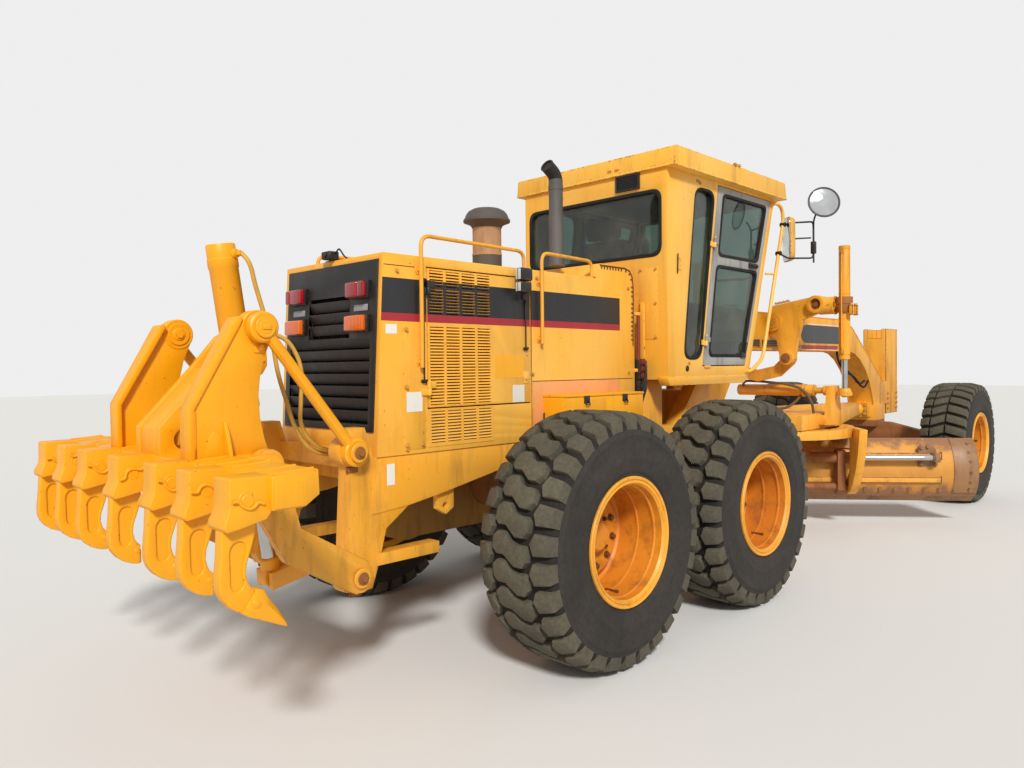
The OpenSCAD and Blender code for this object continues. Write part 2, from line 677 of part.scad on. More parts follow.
axle_z = wheel_z;
module front_axle() {
  color("#8A5A22") difference() {
    union() {
      translate([0, wheelbase, 0]) rotate([90, 0, 0]) translate([0, 0, -90]) linear_extrude(height = 180) polygon([
        [-kingpin_x + 60, 640], [-kingpin_x + 60, 850], [-300, 960], [300, 960], [kingpin_x - 60, 850],
        [kingpin_x - 60, 640], [300, 740], [-300, 740]
      ]);
      for (s = [-1, 1]) translate([s * kingpin_x, wheelbase, 640]) cylinder(h = 210, r = 62, $fn = round_fn);
      translate([-190, wheelbase - 179, 900]) cube([380, 360, 85 - clear]);
      for (s = [-1, 1]) translate([s * (kingpin_x - 60) - 60, wheelbase - 60, 640]) cube([120, 120, 210]);
    }
    for (s = [-1, 1]) translate([s * kingpin_x, wheelbase, 600]) cylinder(h = 300, r = 32.05, $fn = round_fn);
  }
}

arm_l = 230;
module knuckle(side) {
  color("#7D5524") translate([side * kingpin_x, wheelbase, 0]) {
    translate([0, 0, 560]) cylinder(h = 370, r = 32, $fn = round_fn);
    for (z = [560, 860]) translate([0, 0, z]) cylinder(h = 70, r = 75, $fn = round_fn);
    scale_side(side) {
      for (z = [560, 860]) translate([0, -60, z]) cube([150, 120, 70]);
      translate([90, -80, 560]) cube([60, 160, 370]);
      pin_x(140, wheel_x + dish_x - kingpin_x - clear, 0, axle_z, 80);
      translate([-40, -arm_l, 560]) cube([80, arm_l, 60]);
    }
    translate([0, -arm_l, 560]) cylinder(h = 60, r = 45, $fn = round_fn);
    translate([0, -arm_l, 500]) cylinder(h = 70, r = 18, $fn = round_fn);
  }
}

module tie_rod() {
  color("#5C4A33") {
    difference() {
      for (s = [-1, 1]) translate([s * kingpin_x, wheelbase - arm_l, 500]) cylinder(h = 50, r = 42, $fn = round_fn);
      for (s = [-1, 1]) translate([s * kingpin_x, wheelbase - arm_l, 490]) cylinder(h = 70, r = 18.05, $fn = round_fn);
    }
    pin_x(-kingpin_x + 35, kingpin_x - 35, wheelbase - arm_l, 525, 24);
  }
}

ball_y = wheelbase - 289;
ball_z = 1130;
ball_r = 85;
drawbar_z = 1240;
module drawbar() {
  color(yellow) {
    // A-frame of two legs and the plate that carries the circle
    translate([0, 0, drawbar_z - 160]) linear_extrude(height = 150) difference() {
      polygon([[-80, ball_y - 150], [80, ball_y - 150], [640, circle_y + 300], [640, circle_y - 620],
        [-640, circle_y - 620], [-640, circle_y + 300]]);
      polygon([[0, ball_y - 620], [430, circle_y + 460], [-430, circle_y + 460]]);
    }
    difference() {
      union() {
        translate([0, ball_y, ball_z]) rotate([0, 0, 40]) sphere(r = ball_r, $fn = round_fn);
        rod_between([0, ball_y - 200, ball_z + 10], [0, ball_y - 40, ball_z + 2], 50);
      }
      pin_x(-100, 100, ball_y, ball_z, 12);
    }
    // Brackets beside the lift rods
    both_sides() side_plate(700, 760, [
      [lift_y - 160, drawbar_z - 120], [lift_y - 90, 1520], [lift_y + 90, 1520], [lift_y + 160, drawbar_z - 120]
    ]);
    both_sides() translate([600, lift_y - 150, drawbar_z - 120]) cube([110, 300, 100]);
  }
}

// Shoes under the drawbar that hold the circle's inner edge
module circle_shoes() {
  color("#8A5A22") for (a = [45, 135, 225, 315]) translate([0, circle_y, 0]) rotate([0, 0, a]) {
    translate([circle_r - 225, -60, drawbar_z - 280]) cube([65, 120, 120 - clear]);
    translate([circle_r - 200, -60, drawbar_z - 280]) cube([85, 120, 20 - clear]);
  }
}

// Cylinder that shifts the drawbar sideways; its eye end sits on the right bracket
module centre_shift_cylinder() {
  color(yellow) {
    pin_x(-300, 560, lift_y - 40, 1470, 60);
    pin_x(430, 470, lift_y - 40, 1470, 68);
    pin_x(555, 660, lift_y - 40, 1470, 32);
    pin_x(655, 700 - clear, lift_y - 40, 1470, 50);
  }
}

// Blade group: u runs along the blade, v forward of the circle's centre
tip_v = -200;
tip_z = 430;
tip_pin_r = 40;
arm_u = 800;
carrier_u = 690;
shift_v = -190;
shift_z = 740;
shift_barrel_r = 60;
shift_rod_r = 30;
module blade_frame() {
  translate([0, circle_y, 0]) rotate([0, 0, blade_yaw]) children();
}

module circle() {
  color(yellow) blade_frame() {
    difference() {
      translate([0, 0, drawbar_z - 260]) cylinder(h = 92, r = circle_r, $fn = round_fn);
      translate([0, 0, drawbar_z - 261]) cylinder(h = 94, r = circle_r - 150, $fn = round_fn);
    }
    difference() {
      for (s = [-1, 1]) {
        side_plate(s * arm_u - 40, s * arm_u + 40, [
          [-640, drawbar_z - 168], [-250, drawbar_z - 168], [-305, 900], [-305, 620], [-215, 510],
          [-262, 372], [-330, 400], [-420, 500], [-510, 640], [-580, 800], [-620, 950]
        ]);
        pin_x(s * arm_u - 40, s * arm_u + 40, tip_v, tip_z, 80);
      }
      for (s = [-1, 1]) pin_x(s * arm_u - 50, s * arm_u + 50, tip_v, tip_z, tip_pin_r + 0.05);
    }
  }
}

module blade_carrier() {
  color("#B07A35") blade_frame() {
    difference() {
      for (s = [-1, 1]) side_plate(s * carrier_u - 40, s * carrier_u + 40, [
        [-274, 400], [-274, 820], [-125, 820], [-125, 360], [-200, 340]
      ]);
      pin_x(-900, 900, shift_v, shift_z, shift_barrel_r + clear);
    }
    pin_x(-850, 850, tip_v, tip_z, tip_pin_r);
  }
}

module shift_barrel() {
  color(yellow) blade_frame() difference() {
    pin_x(-600, 930, shift_v, shift_z, shift_barrel_r);
    pin_x(-550, 931, shift_v, shift_z, shift_rod_r + 0.1);
  }
}

module shift_rod() {
  color("#C9CCD0") blade_frame() pin_x(100, 1640 - clear, shift_v, shift_z, shift_rod_r);
}

// Moldboard: a curved plate with its rails, cutting edge and the bracket of the shift rod
module moldboard() {
  axis_v = 333;
  mid_z = blade_lift + blade_h / 2;
  color("#A86A35") blade_frame() {
    difference() {
      intersection() {
        pin_x(-blade_l / 2, blade_l / 2, axis_v, mid_z, blade_curve_r + blade_t);
        translate([-blade_l / 2 - 1, axis_v - 500, mid_z - blade_h / 2 + 60])
          cube([blade_l + 2, 290, blade_h - 60]);
      }
      pin_x(-blade_l / 2 - 1, blade_l / 2 + 1, axis_v, mid_z, blade_curve_r);
    }
    // Cutting edge and end bits on the front face
    side_plate(-blade_l / 2, blade_l / 2, [[85, blade_lift], [105, blade_lift], [30, blade_lift + 90], [5, blade_lift + 80]]);
    for (r = [[460, -80], [720, -62]])
      side_plate(-1750, 1750, [[-117, r[0]], [-117, r[0] + 60], [r[1], r[0] + 60], [r[1], r[0]]]);
    translate([1640, -235, 690]) cube([60, 175, 100]);
  }
}

// Ripper pins as [y, z]: a parallelogram of links
rip_upper = [-2100, 1306];
rip_lower = [-2090, 642];
rip_link = [-515, 645];
rip_beam_upper = rip_upper + rip_link;
rip_beam_lower = rip_lower + rip_link;
rip_pin_r = 35;
link_x0 = 505;
link_x1 = 560;
trunnion = [-2475, 1800];
rod_foot = [-2300, 600];

// A round bar from one [y, z] point to another, with eyes between x0 and x1
module link_bar(x0, x1, a, b, bar_r, boss_r, bore_r) {
  x = (x0 + x1) / 2;
  difference() {
    union() {
      rod_between([x, a[0], a[1]], [x, b[0], b[1]], bar_r);
      for (p = [a, b]) pin_x(x0, x1, p[0], p[1], boss_r);
    }
    for (p = [a, b]) pin_x(x - bar_r - 5, x + bar_r + 5, p[0], p[1], bore_r);
  }
}

module ripper_lower_arm() {
  color(amber) both_sides() difference() {
    union() {
      side_plate(link_x0, link_x1, [
        [-2680, 1290], [-2530, 1290], [-2440, 960], [-2040, 720], [-2020, 600], [-2120, 560], [-2520, 800], [-2690, 1100]
      ]);
      for (p = [rip_lower, rip_beam_lower]) pin_x(link_x0, link_x1, p[0], p[1], 80);
    }
    for (p = [rip_lower, rip_beam_lower]) pin_x(link_x0 - 1, link_x1 + 1, p[0], p[1], rip_pin_r + 0.05);
  }
}

module ripper_upper_links() {
  color(amber) both_sides() link_bar(link_x0, link_x1, rip_upper, rip_beam_upper, 30, 75, rip_pin_r + 0.05);
}

shank_xs = [-1150, -800, -450, 0, 450, 800, 1150];
shank_y = shank_rear_y + 130;
// Outlines as [y, z] from the plane of the shanks' fronts
holder_pts = [
  [-199, 1317], [-199, 1236], [-220, 1196], [-215, 1167], [-146, 1141], [22, 1170], [60, 1210], [60, 1340], [-18, 1338]
];
shank_pts = [
  [-147, 1300], [-147, 1135], [-166, 947], [-150, 885], [-125, 845], [-90, 818], [-45, 803], [-10, 800],
  [-10, 895], [-30, 920], [-42, 960], [-30, 1040], [-3, 1110], [-3, 1300]
];
tip_pts = [[-50, 802], [132, 717], [65, 827], [-20, 907], [-50, 895]];
function at_shanks(points) = [for (p = points) [p[0] + shank_y, p[1]]];
tower_pts = [
  [-2945, 1325], [-2942, 1566], [-2715, 1960], [-2640, 1990], [-2560, 1990], [-2545, 1900], [-2613, 1715],
  [-2610, 1537], [-2560, 1325]
];
middle_tower_pts = [
  [-2957, 1325], [-2957, 1468], [-2655, 1792], [-2530, 1940], [-2440, 1930], [-2390, 1870], [-2385, 1770],
  [-2470, 1690], [-2600, 1590], [-2740, 1460], [-2770, 1325]
];
module ripper_beam() {
  color(amber) {
    difference() {
      union() {
        side_plate(-1250, 1250, [[-2966, 1198], [-2966, 1335], [-2756, 1349], [-2752, 1242], [-2819, 1198]]);
        for (x = shank_xs) side_plate(x - 95, x + 95, at_shanks(holder_pts));
      }
      for (x = shank_xs) translate([x - shank_t / 2 - clear, shank_y - 147 - clear, 1100])
        cube([shank_t + 2 * clear, 144 + 2 * clear, 200 + clear]);
    }
    both_sides() {
      // Outer towers with the flange on their rear edge
      side_plate(ripper_half_w - 35, ripper_half_w + 25, tower_pts);
      side_plate(ripper_half_w - 70, ripper_half_w + 35, [
        [-2962, 1330], [-2962, 1575], [-2722, 2002], [-2700, 1990], [-2935, 1566], [-2935, 1330]
      ]);
      pin_x(ripper_half_w - 40, link_x0 - gap, rip_beam_upper[0], rip_beam_upper[1], 85);
      pin_x(ripper_half_w - 35, link_x1 + 15, rip_beam_upper[0], rip_beam_upper[1], rip_pin_r);
      // Lugs and pins of the lower arms
      for (x = [ripper_half_w, link_x1 + 8]) side_plate(x, x + 32, [
        [-2770, 1210], [-2770, 1345], [-2600, 1345], [-2550, 1287], [-2600, 1230]
      ]);
      pin_x(ripper_half_w, link_x1 + 40, rip_beam_lower[0], rip_beam_lower[1], rip_pin_r);
      // Plates of the middle tower, which carry the cylinder's trunnion
      difference() {
        side_plate(100, 150, middle_tower_pts);
        pin_x(99, 151, trunnion[0], trunnion[1], 40.05);
        pin_x(99, 151, -2835, 1408, 52);
      }
    }
    // Sloping cover between those plates
    side_plate(-112, 112, [[-2950, 1330], [-2950, 1462], [-2668, 1765], [-2650, 1750], [-2930, 1450], [-2930, 1330]]);
  }
}

// Bore in the bare nose of a shank, where a tip's pin goes: offset from the shank's rear, height
tip_bore = [75, 870];
tip_bore_r = 14;
module ripper_shanks() {
  color(amber) for (x = shank_xs) difference() {
    side_plate(x - shank_t / 2, x + shank_t / 2, at_shanks(shank_pts));
    if (x < 1150) pin_x(x - shank_t, x + shank_t, shank_rear_y + tip_bore[0], tip_bore[1], tip_bore_r);
  }
  color(amber) side_plate(1150 - 42, 1150 + 42, at_shanks(tip_pts));
}

// Cylinder along the line from its foot on the frame to the trunnion
cyl_d = trunnion - rod_foot;
cyl_l = norm(cyl_d);
cyl_a = atan2(-cyl_d[0], cyl_d[1]);
module along_cylinder() {
  translate([0, rod_foot[0], rod_foot[1]]) rotate([cyl_a, 0, 0]) children();
}
module ripper_barrel() {
  color(amber) along_cylinder() {
    difference() {
      translate([0, 0, cyl_l - 300]) cylinder(h = 920, r = 75, $fn = round_fn);
      translate([0, 0, cyl_l - 301]) cylinder(h = 891, r = 38.1, $fn = round_fn);
    }
    for (s = [-1, 1]) translate([s * 110, 0, cyl_l]) rotate([0, 90, 0]) cylinder(h = 75, r = 40, center = true, $fn = round_fn);
  }
}
module ripper_rod() {
  color("#C9CCD0") along_cylinder() {
    cylinder(h = 950, r = 38, $fn = round_fn);
    rotate([0, 90, 0]) cylinder(h = 80, r = 65, center = true, $fn = round_fn);
  }
}

placed() rear_frame();
placed() engine_block();
placed() hood_shell();
placed() scale_side(-1) engine_door();  // engine_door_left
placed() engine_door();  // engine_door_right
placed() rear_grille();
placed() rear_lamps();
placed() precleaner();
placed() exhaust_stack();
placed() handrails();
placed() side_boxes();
placed() cab_rails();
placed() cab_shell();
placed() cab_roof();
placed() cab_glass();
placed() cab_interior();
placed() scale_side(-1) cab_door();  // cab_door_left
placed() cab_door();  // cab_door_right
placed() mirrors();
placed() rear_axle();
placed() scale_side(-1) tandem_case();  // tandem_left
placed() tandem_case();  // tandem_right
placed() wheel_at(-1, -tandem_half) tyre(rear_pitches);  // rear_tyre_left_back
placed() wheel_at(-1, tandem_half) tyre(rear_pitches);  // rear_tyre_left_fore
placed() wheel_at(1, -tandem_half) tyre(rear_pitches);  // rear_tyre_right_back
placed() wheel_at(1, tandem_half) tyre(rear_pitches);  // rear_tyre_right_fore
placed() wheel_at(-1, -tandem_half) rim(dish_x);  // rear_rim_left_back
placed() wheel_at(-1, tandem_half) rim(dish_x);  // rear_rim_left_fore
placed() wheel_at(1, -tandem_half) rim(dish_x);  // rear_rim_right_back
placed() wheel_at(1, tandem_half) rim(dish_x);  // rear_rim_right_fore
placed() front_frame();
placed() front_upright();
placed() lift_arms();
placed() front_axle();
placed() knuckle(-1);  // knuckle_left
placed() knuckle(1);  // knuckle_right
placed() tie_rod();
placed() wheel_at(-1, wheelbase) tyre(front_pitches);  // front_tyre_left
placed() wheel_at(1, wheelbase) tyre(front_pitches);  // front_tyre_right
placed() wheel_at(-1, wheelbase) rim(dish_x);  // front_rim_left
placed() wheel_at(1, wheelbase) rim(dish_x);  // front_rim_right
placed() drawbar();
placed() circle_shoes();
placed() centre_shift_cylinder();
placed() lift_barrel(-1);  // lift_barrel_left
placed() lift_barrel(1);  // lift_barrel_right
placed() lift_rod(-1);  // lift_rod_left
placed() lift_rod(1);  // lift_rod_right
placed() circle();
placed() blade_carrier();
placed() shift_barrel();
placed() shift_rod();
placed() moldboard();
placed() ripper_lower_arm();
placed() ripper_upper_links();
placed() ripper_beam();
placed() ripper_shanks();
placed() ripper_barrel();
placed() ripper_rod();
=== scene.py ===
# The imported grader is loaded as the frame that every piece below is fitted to.
# Sizes are in millimetres, with y from the middle of the tandem and z from the ground.
import bmesh
import bpy
import json
import math
from mathutils import Matrix, Vector

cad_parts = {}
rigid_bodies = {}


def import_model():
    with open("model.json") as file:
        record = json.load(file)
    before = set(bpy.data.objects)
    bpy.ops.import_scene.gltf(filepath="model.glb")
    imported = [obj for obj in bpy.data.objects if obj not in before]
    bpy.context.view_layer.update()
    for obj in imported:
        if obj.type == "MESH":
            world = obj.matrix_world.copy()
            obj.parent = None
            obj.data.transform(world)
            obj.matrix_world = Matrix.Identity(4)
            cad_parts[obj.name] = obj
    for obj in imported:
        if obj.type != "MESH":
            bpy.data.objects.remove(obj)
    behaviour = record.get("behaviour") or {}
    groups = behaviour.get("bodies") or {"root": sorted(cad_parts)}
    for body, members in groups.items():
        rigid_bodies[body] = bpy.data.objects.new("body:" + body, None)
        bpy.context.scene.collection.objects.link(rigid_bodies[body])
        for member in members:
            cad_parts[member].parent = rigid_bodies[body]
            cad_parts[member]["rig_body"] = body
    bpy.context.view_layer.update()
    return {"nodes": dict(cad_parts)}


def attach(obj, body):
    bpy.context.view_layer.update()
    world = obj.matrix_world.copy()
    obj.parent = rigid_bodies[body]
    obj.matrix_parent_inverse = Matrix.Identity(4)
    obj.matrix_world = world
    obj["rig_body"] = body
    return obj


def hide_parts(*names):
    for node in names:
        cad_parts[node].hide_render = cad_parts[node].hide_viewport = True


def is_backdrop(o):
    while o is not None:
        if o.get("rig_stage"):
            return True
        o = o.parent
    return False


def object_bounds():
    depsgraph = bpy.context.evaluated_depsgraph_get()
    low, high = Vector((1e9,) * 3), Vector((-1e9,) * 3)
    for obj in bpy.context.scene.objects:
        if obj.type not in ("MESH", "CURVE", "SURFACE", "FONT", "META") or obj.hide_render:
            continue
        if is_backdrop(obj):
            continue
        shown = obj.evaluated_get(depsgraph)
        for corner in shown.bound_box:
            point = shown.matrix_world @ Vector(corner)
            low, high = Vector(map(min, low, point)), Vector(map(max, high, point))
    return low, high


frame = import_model()
# The part's origin lies this far ahead of the middle of the tandem
PART_ORIGIN_Y = 2065


def at(x, y, z):
    """A point measured from the tandem, in the part's own frame and in metres."""
    return Vector((x, y - PART_ORIGIN_Y, z)) / 1000


# Camera: 1.75 m above the ground, off the right rear corner of the grader.
# It looks 44 degrees to the left of the machine's axis and is a little tilted.
CAMERA_PLACE = (4003.5, -4467.7, 1747.7)
CAMERA_TURNS = (44.27, -1.2425, -0.602)
FOCAL_LENGTH, SENSOR_WIDTH, FARTHEST_SEEN = 27.5, 36, 300


def photo_camera():
    yaw, pitch, roll = (math.radians(turn) for turn in CAMERA_TURNS)
    ahead = Vector((-math.sin(yaw) * math.cos(pitch), math.cos(yaw) * math.cos(pitch), math.sin(pitch)))
    right = Vector((math.cos(yaw), math.sin(yaw), 0))
    up = right.cross(ahead)
    right, up = (
        math.cos(roll) * right + math.sin(roll) * up,
        math.cos(roll) * up - math.sin(roll) * right,
    )
    lens = bpy.data.cameras.new("photo_camera")
    lens.lens = FOCAL_LENGTH
    lens.sensor_width = SENSOR_WIDTH
    lens.clip_end = FARTHEST_SEEN
    camera = bpy.data.objects.new("photo_camera", lens)
    axes = Matrix((right, up, -ahead)).transposed().to_4x4()
    camera.matrix_world = Matrix.Translation(at(*CAMERA_PLACE)) @ axes
    bpy.context.scene.collection.objects.link(camera)
    bpy.context.scene.camera = camera


photo_camera()


# Floor and light: a plain pale studio floor, a large soft lamp high on the right behind
# the camera and an even white surround, together at a level that renders a colour as written.
def linear(hex_colour):
    """An sRGB hex colour as the linear RGBA that shaders work in."""
    parts = [int(hex_colour[i:i + 2], 16) / 255 for i in (1, 3, 5)]
    return [c / 12.92 if c <= 0.04045 else ((c + 0.055) / 1.055) ** 2.4 for c in parts] + [1.0]


def node(tree, kind, inputs=None, **settings):
    """Adds a shader node with its settings. An input takes a value, another node's output, or a
    node, which stands for its first output."""
    made = tree.nodes.new("ShaderNode" + kind)
    for key, value in settings.items():
        setattr(made, key, value)
    for key, value in (inputs or {}).items():
        if isinstance(value, bpy.types.Node):
            value = next(socket for socket in value.outputs if socket.enabled)
        if isinstance(value, bpy.types.NodeSocket):
            tree.links.new(value, made.inputs[key])
        else:
            made.inputs[key].default_value = value
    return made


def blank_material(name):
    material = bpy.data.materials.new(name)
    material.use_nodes = True
    material.node_tree.nodes.clear()
    return material, material.node_tree


FLOOR_SIZE = 60
LAMP_LEVEL, LAMP_WIDTH, LAMP_FROM = 3.1, math.radians(9), (0.60, -0.52, 0.60)
SURROUND_LIGHTS, SURROUND_SEEN = 0.42, 0.86


def studio():
    floor_paint, tree = blank_material("pale_studio_floor")
    grain = node(tree, "TexNoise", {"Scale": 3.0, "Detail": 3.0})
    tone = node(tree, "Mix", {"Factor": grain, "A": linear("#DEDCD7"), "B": linear("#E6E4DF")},
                data_type="RGBA")
    skin = node(tree, "BsdfPrincipled", {"Base Color": tone, "Roughness": 0.9})
    node(tree, "OutputMaterial", {"Surface": skin})
    ground = bmesh.new()
    bmesh.ops.create_grid(ground, x_segments=1, y_segments=1, size=FLOOR_SIZE)
    mesh = bpy.data.meshes.new("studio_floor")
    ground.to_mesh(mesh)
    ground.free()
    mesh.materials.append(floor_paint)
    floor = bpy.data.objects.new("studio_floor", mesh)
    bpy.context.scene.collection.objects.link(floor)
    floor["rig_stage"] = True

    sun = bpy.data.lights.new("large_soft_lamp", "SUN")
    sun.energy = LAMP_LEVEL
    sun.angle = LAMP_WIDTH
    lamp = bpy.data.objects.new("large_soft_lamp", sun)
    lamp.rotation_euler = Vector(LAMP_FROM).to_track_quat("Z", "Y").to_euler()
    bpy.context.scene.collection.objects.link(lamp)

    surround = bpy.data.worlds.new("white_surround")
    surround.use_nodes = True
    tree = surround.node_tree
    tree.nodes.clear()
    ray = node(tree, "LightPath")
    seen = node(tree, "Math", {0: ray.outputs["Is Camera Ray"], 1: ray.outputs["Is Glossy Ray"]},
                operation="MAXIMUM")
    seen = node(tree, "Math", {0: seen, 1: ray.outputs["Is Transmission Ray"]}, operation="MAXIMUM")
    level = node(tree, "MapRange", {"Value": seen, "To Min": SURROUND_LIGHTS, "To Max": SURROUND_SEEN})
    glow = node(tree, "Background", {"Color": linear("#FFFFFF"), "Strength": level})
    node(tree, "OutputWorld", {"Surface": glow})
    bpy.context.scene.world = surround
    bpy.context.scene.view_settings.view_transform = "Standard"


studio()


# Tyres: six radial earthmover tyres 745 mm in radius, the rear ones with S-shaped blocks and
# five-sided shoulder blocks, the front ones with chevron rows. Rubber moulded in one, dusty from a yard,
# with painted shade darkening the grooves between the blocks.
def into(piece, shape, material=0, width=0.0, segments=2, turn=0.55):
    """Adds a shape to a piece in one of its materials. Edges sharper than turn are rounded by width and
    marked as edges that wear."""
    marks = shape.faces.layers.float.get("edge") or shape.faces.layers.float.new("edge")
    if width:
        sharp = [e for e in shape.edges if len(e.link_faces) == 2 and e.calc_face_angle(0) > turn]
        made = bmesh.ops.bevel(shape, geom=sharp, offset=width / 1000, segments=segments, profile=0.5,
                               affect="EDGES", clamp_overlap=True, material=-1)
        for face in made["faces"]:
            face[marks] = 1.0
    for face in shape.faces:
        face.material_index = material
        face.smooth = True
    spare = bpy.data.meshes.new("spare")
    shape.to_mesh(spare)
    shape.free()
    piece.from_mesh(spare)
    bpy.data.meshes.remove(spare)
    return piece


def finished(piece, name, body, materials, stands_for=(), crease=35):
    """Makes a piece a mesh that rides on a body, with its finish and the CAD nodes that it stands for."""
    mesh = bpy.data.meshes.new(name)
    piece.to_mesh(mesh)
    piece.free()
    for material in materials:
        mesh.materials.append(material)
    mesh.set_sharp_from_angle(angle=math.radians(crease))
    made = bpy.data.objects.new(name, mesh)
    bpy.context.scene.collection.objects.link(made)
    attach(made, body)
    if stands_for:
        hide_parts(*stands_for)
    return made


def turned(profile, steps=64):
    """A shape turned about Z from (radius, height) points. The outline closes on itself or on the axis."""
    shape = bmesh.new()
    points = [shape.verts.new((r / 1000, 0, h / 1000)) for r, h in profile]
    closed = profile[0][0] > 0 or profile[-1][0] > 0
    pairs = list(zip(points, points[1:] + points[:1])) if closed else list(zip(points, points[1:]))
    lines = [shape.edges.new(ends) for ends in pairs]
    bmesh.ops.spin(shape, geom=points + lines, cent=(0, 0, 0), axis=(0, 0, 1), angle=math.tau,
                   steps=steps, use_merge=True, use_duplicate=False)
    bmesh.ops.remove_doubles(shape, verts=shape.verts, dist=1e-6)
    bmesh.ops.recalc_face_normals(shape, faces=shape.faces)
    return shape


def moved(shape, matrix):
    bmesh.ops.transform(shape, matrix=matrix, verts=shape.verts)
    if matrix.determinant() < 0:
        bmesh.ops.reverse_faces(shape, faces=shape.faces)
    return shape


SIDES = ((1, "right"), (-1, "left"))
ALONG_X = Matrix.Rotation(math.pi / 2, 4, "Y")
MIRROR_X = Matrix.Scale(-1, 4, Vector((1, 0, 0)))
TYRE_R, SHOULDER_R, TREAD_FOOT_R = 745, 614, 640
TRACK_HALF = 1140
# The tyre's section as (radius, half width), and the outlines of its blocks as (across, around)
HALF_SECTION = [(352, 238), (360, 243), (392, 244), (400, 252), (424, 257), (470, 264), (476, 266),
                (484, 266), (490, 264), (560, 264), (600, 260), (604, 262), (610, 262), (614, 258),
                (640, 252), (664, 244), (686, 228), (698, 196), (704, 120), (707, 40)]
REAR_TREAD = [[(-128, 30), (-95, 58), (-40, 58), (-8, 15), (40, -5), (95, -5), (122, -32), (122, -92),
               (92, -128), (36, -128), (2, -104), (-42, -70), (-98, -70), (-128, -42)],
              [(138, 12), (166, 72), (252, 66), (252, -46), (166, -50)],
              [(-138, 72), (-166, 12), (-252, 18), (-252, 130), (-166, 134)]]
FRONT_TREAD = [
    [(-250, -44), (-146, -36), (-146, 62), (-250, 54)],
    [(-128, -44), (22, 12), (22, 112), (-128, 56)],
    [(38, 16), (250, -38), (250, 62), (38, 116)],
]


def along_profile(across):
    """Radius of the tyre's body at a distance from its middle."""
    rows = [(t, r) for r, t in HALF_SECTION if r >= SHOULDER_R]
    far = abs(across)
    for (t0, r0), (t1, r1) in zip(rows, rows[1:]):
        if t1 <= far <= t0:
            return r1 + (r0 - r1) * (far - t1) / (t0 - t1)
    return rows[-1][1] if far < rows[-1][0] else rows[0][1]


def tread_block(outline, height=46):
    """One block of tread: raised from its outline, rounded at the top and bent round the tyre."""
    block = bmesh.new()
    base = block.faces.new([block.verts.new((t, s, 0)) for t, s in outline])
    if base.normal.z < 0:
        base.normal_flip()
    block.normal_update()
    if base.normal.z < 0:
        bmesh.ops.reverse_faces(block, faces=[base])
    raised = bmesh.ops.extrude_face_region(block, geom=[base])
    top = [v for v in raised["geom"] if isinstance(v, bmesh.types.BMVert)]
    middle = sum((v.co for v in top), Vector()) / len(top)
    for v in top:
        v.co = middle + (v.co - middle) * 0.955 + Vector((0, 0, height))
    bmesh.ops.recalc_face_normals(block, faces=block.faces)
    rim_edges = [e for e in block.edges if all(v.co.z > height / 2 for v in e.verts)]
    bmesh.ops.bevel(block, geom=rim_edges, offset=6, segments=2, profile=0.5, affect="EDGES",
                    clamp_overlap=True, material=-1)
    foot = [f for f in block.faces if all(v.co.z < 1 for v in f.verts)]
    bmesh.ops.delete(block, geom=foot, context="FACES")
    long_sides = [e for e in block.edges if e.calc_length() > 60]
    bmesh.ops.subdivide_edges(block, edges=long_sides, cuts=1)
    for v in block.verts:
        across, around, lift = v.co
        low = along_profile(across) - 10
        # The crown is a little domed and falls away at the shoulders
        crown = TYRE_R - 2 * (across / 150) ** 2 - max(0, abs(across) - 185) * 0.42
        r = low + (crown - low) * lift / height
        angle = around / TYRE_R
        v.co = Vector((across, r * math.sin(angle), r * math.cos(angle))) / 1000
    return block


def tyre_shape(tread, pitches):
    shape = bmesh.new()
    section = HALF_SECTION + [(r, -t) for r, t in reversed(HALF_SECTION)]
    into(shape, moved(turned(section, 120), ALONG_X), material=1)
    # The body under the tread takes the grooves' rubber, painted darker as shade
    for face in shape.faces:
        r = math.hypot(*face.calc_center_median().yz) * 1000
        face.material_index = 0 if r > TREAD_FOOT_R else 1
    for outline in tread:
        block = tread_block(outline)
        for i in range(pitches):
            into(shape, moved(block.copy(), Matrix.Rotation(math.tau * i / pitches, 4, "X")), material=2)
        block.free()
    return shape


def rubber(name, tone, dust, share, fine):
    """Cured black rubber greyed by sun and dust: matt, with pale dust on what touches the ground."""
    material, tree = blank_material(name)
    place = node(tree, "TexCoord").outputs["Object"]
    clouds = node(tree, "TexNoise", {"Vector": place, "Scale": 3.2, "Detail": 6.0, "Roughness": 0.62})
    grit = node(tree, "TexNoise", {"Vector": place, "Scale": fine, "Detail": 5.0, "Roughness": 0.7})
    both = node(tree, "Math", {0: clouds, 1: grit}, operation="MULTIPLY")
    dusty = node(tree, "MapRange", {"Value": both, "From Min": 0.12, "From Max": 0.38,
                                    "To Min": share - 0.3, "To Max": share + 0.3})
    colour = node(tree, "Mix", {"Factor": dusty, "A": linear(tone), "B": linear(dust)}, data_type="RGBA")
    bump = node(tree, "Bump", {"Height": grit, "Strength": 0.35, "Distance": 0.004})
    skin = node(tree, "BsdfPrincipled", {"Base Color": colour, "Roughness": 0.86, "Normal": bump,
                                         "Specular IOR Level": 0.3})
    node(tree, "OutputMaterial", {"Surface": skin})
    return material


# Groove floors: black rubber painted darker than the blocks, as painted shade between them
groove_rubber_painted_shade = rubber("tyre_rubber_painted_shade_in_the_grooves", "#191715", "#35312A", 0.35, 60)
sidewall_rubber = rubber("tyre_rubber_sidewall", "#2B2826", "#453F38", 0.30, 38)
tread_rubber = rubber("tyre_rubber_dusty_tread", "#3A362F", "#67614F", 0.50, 45)
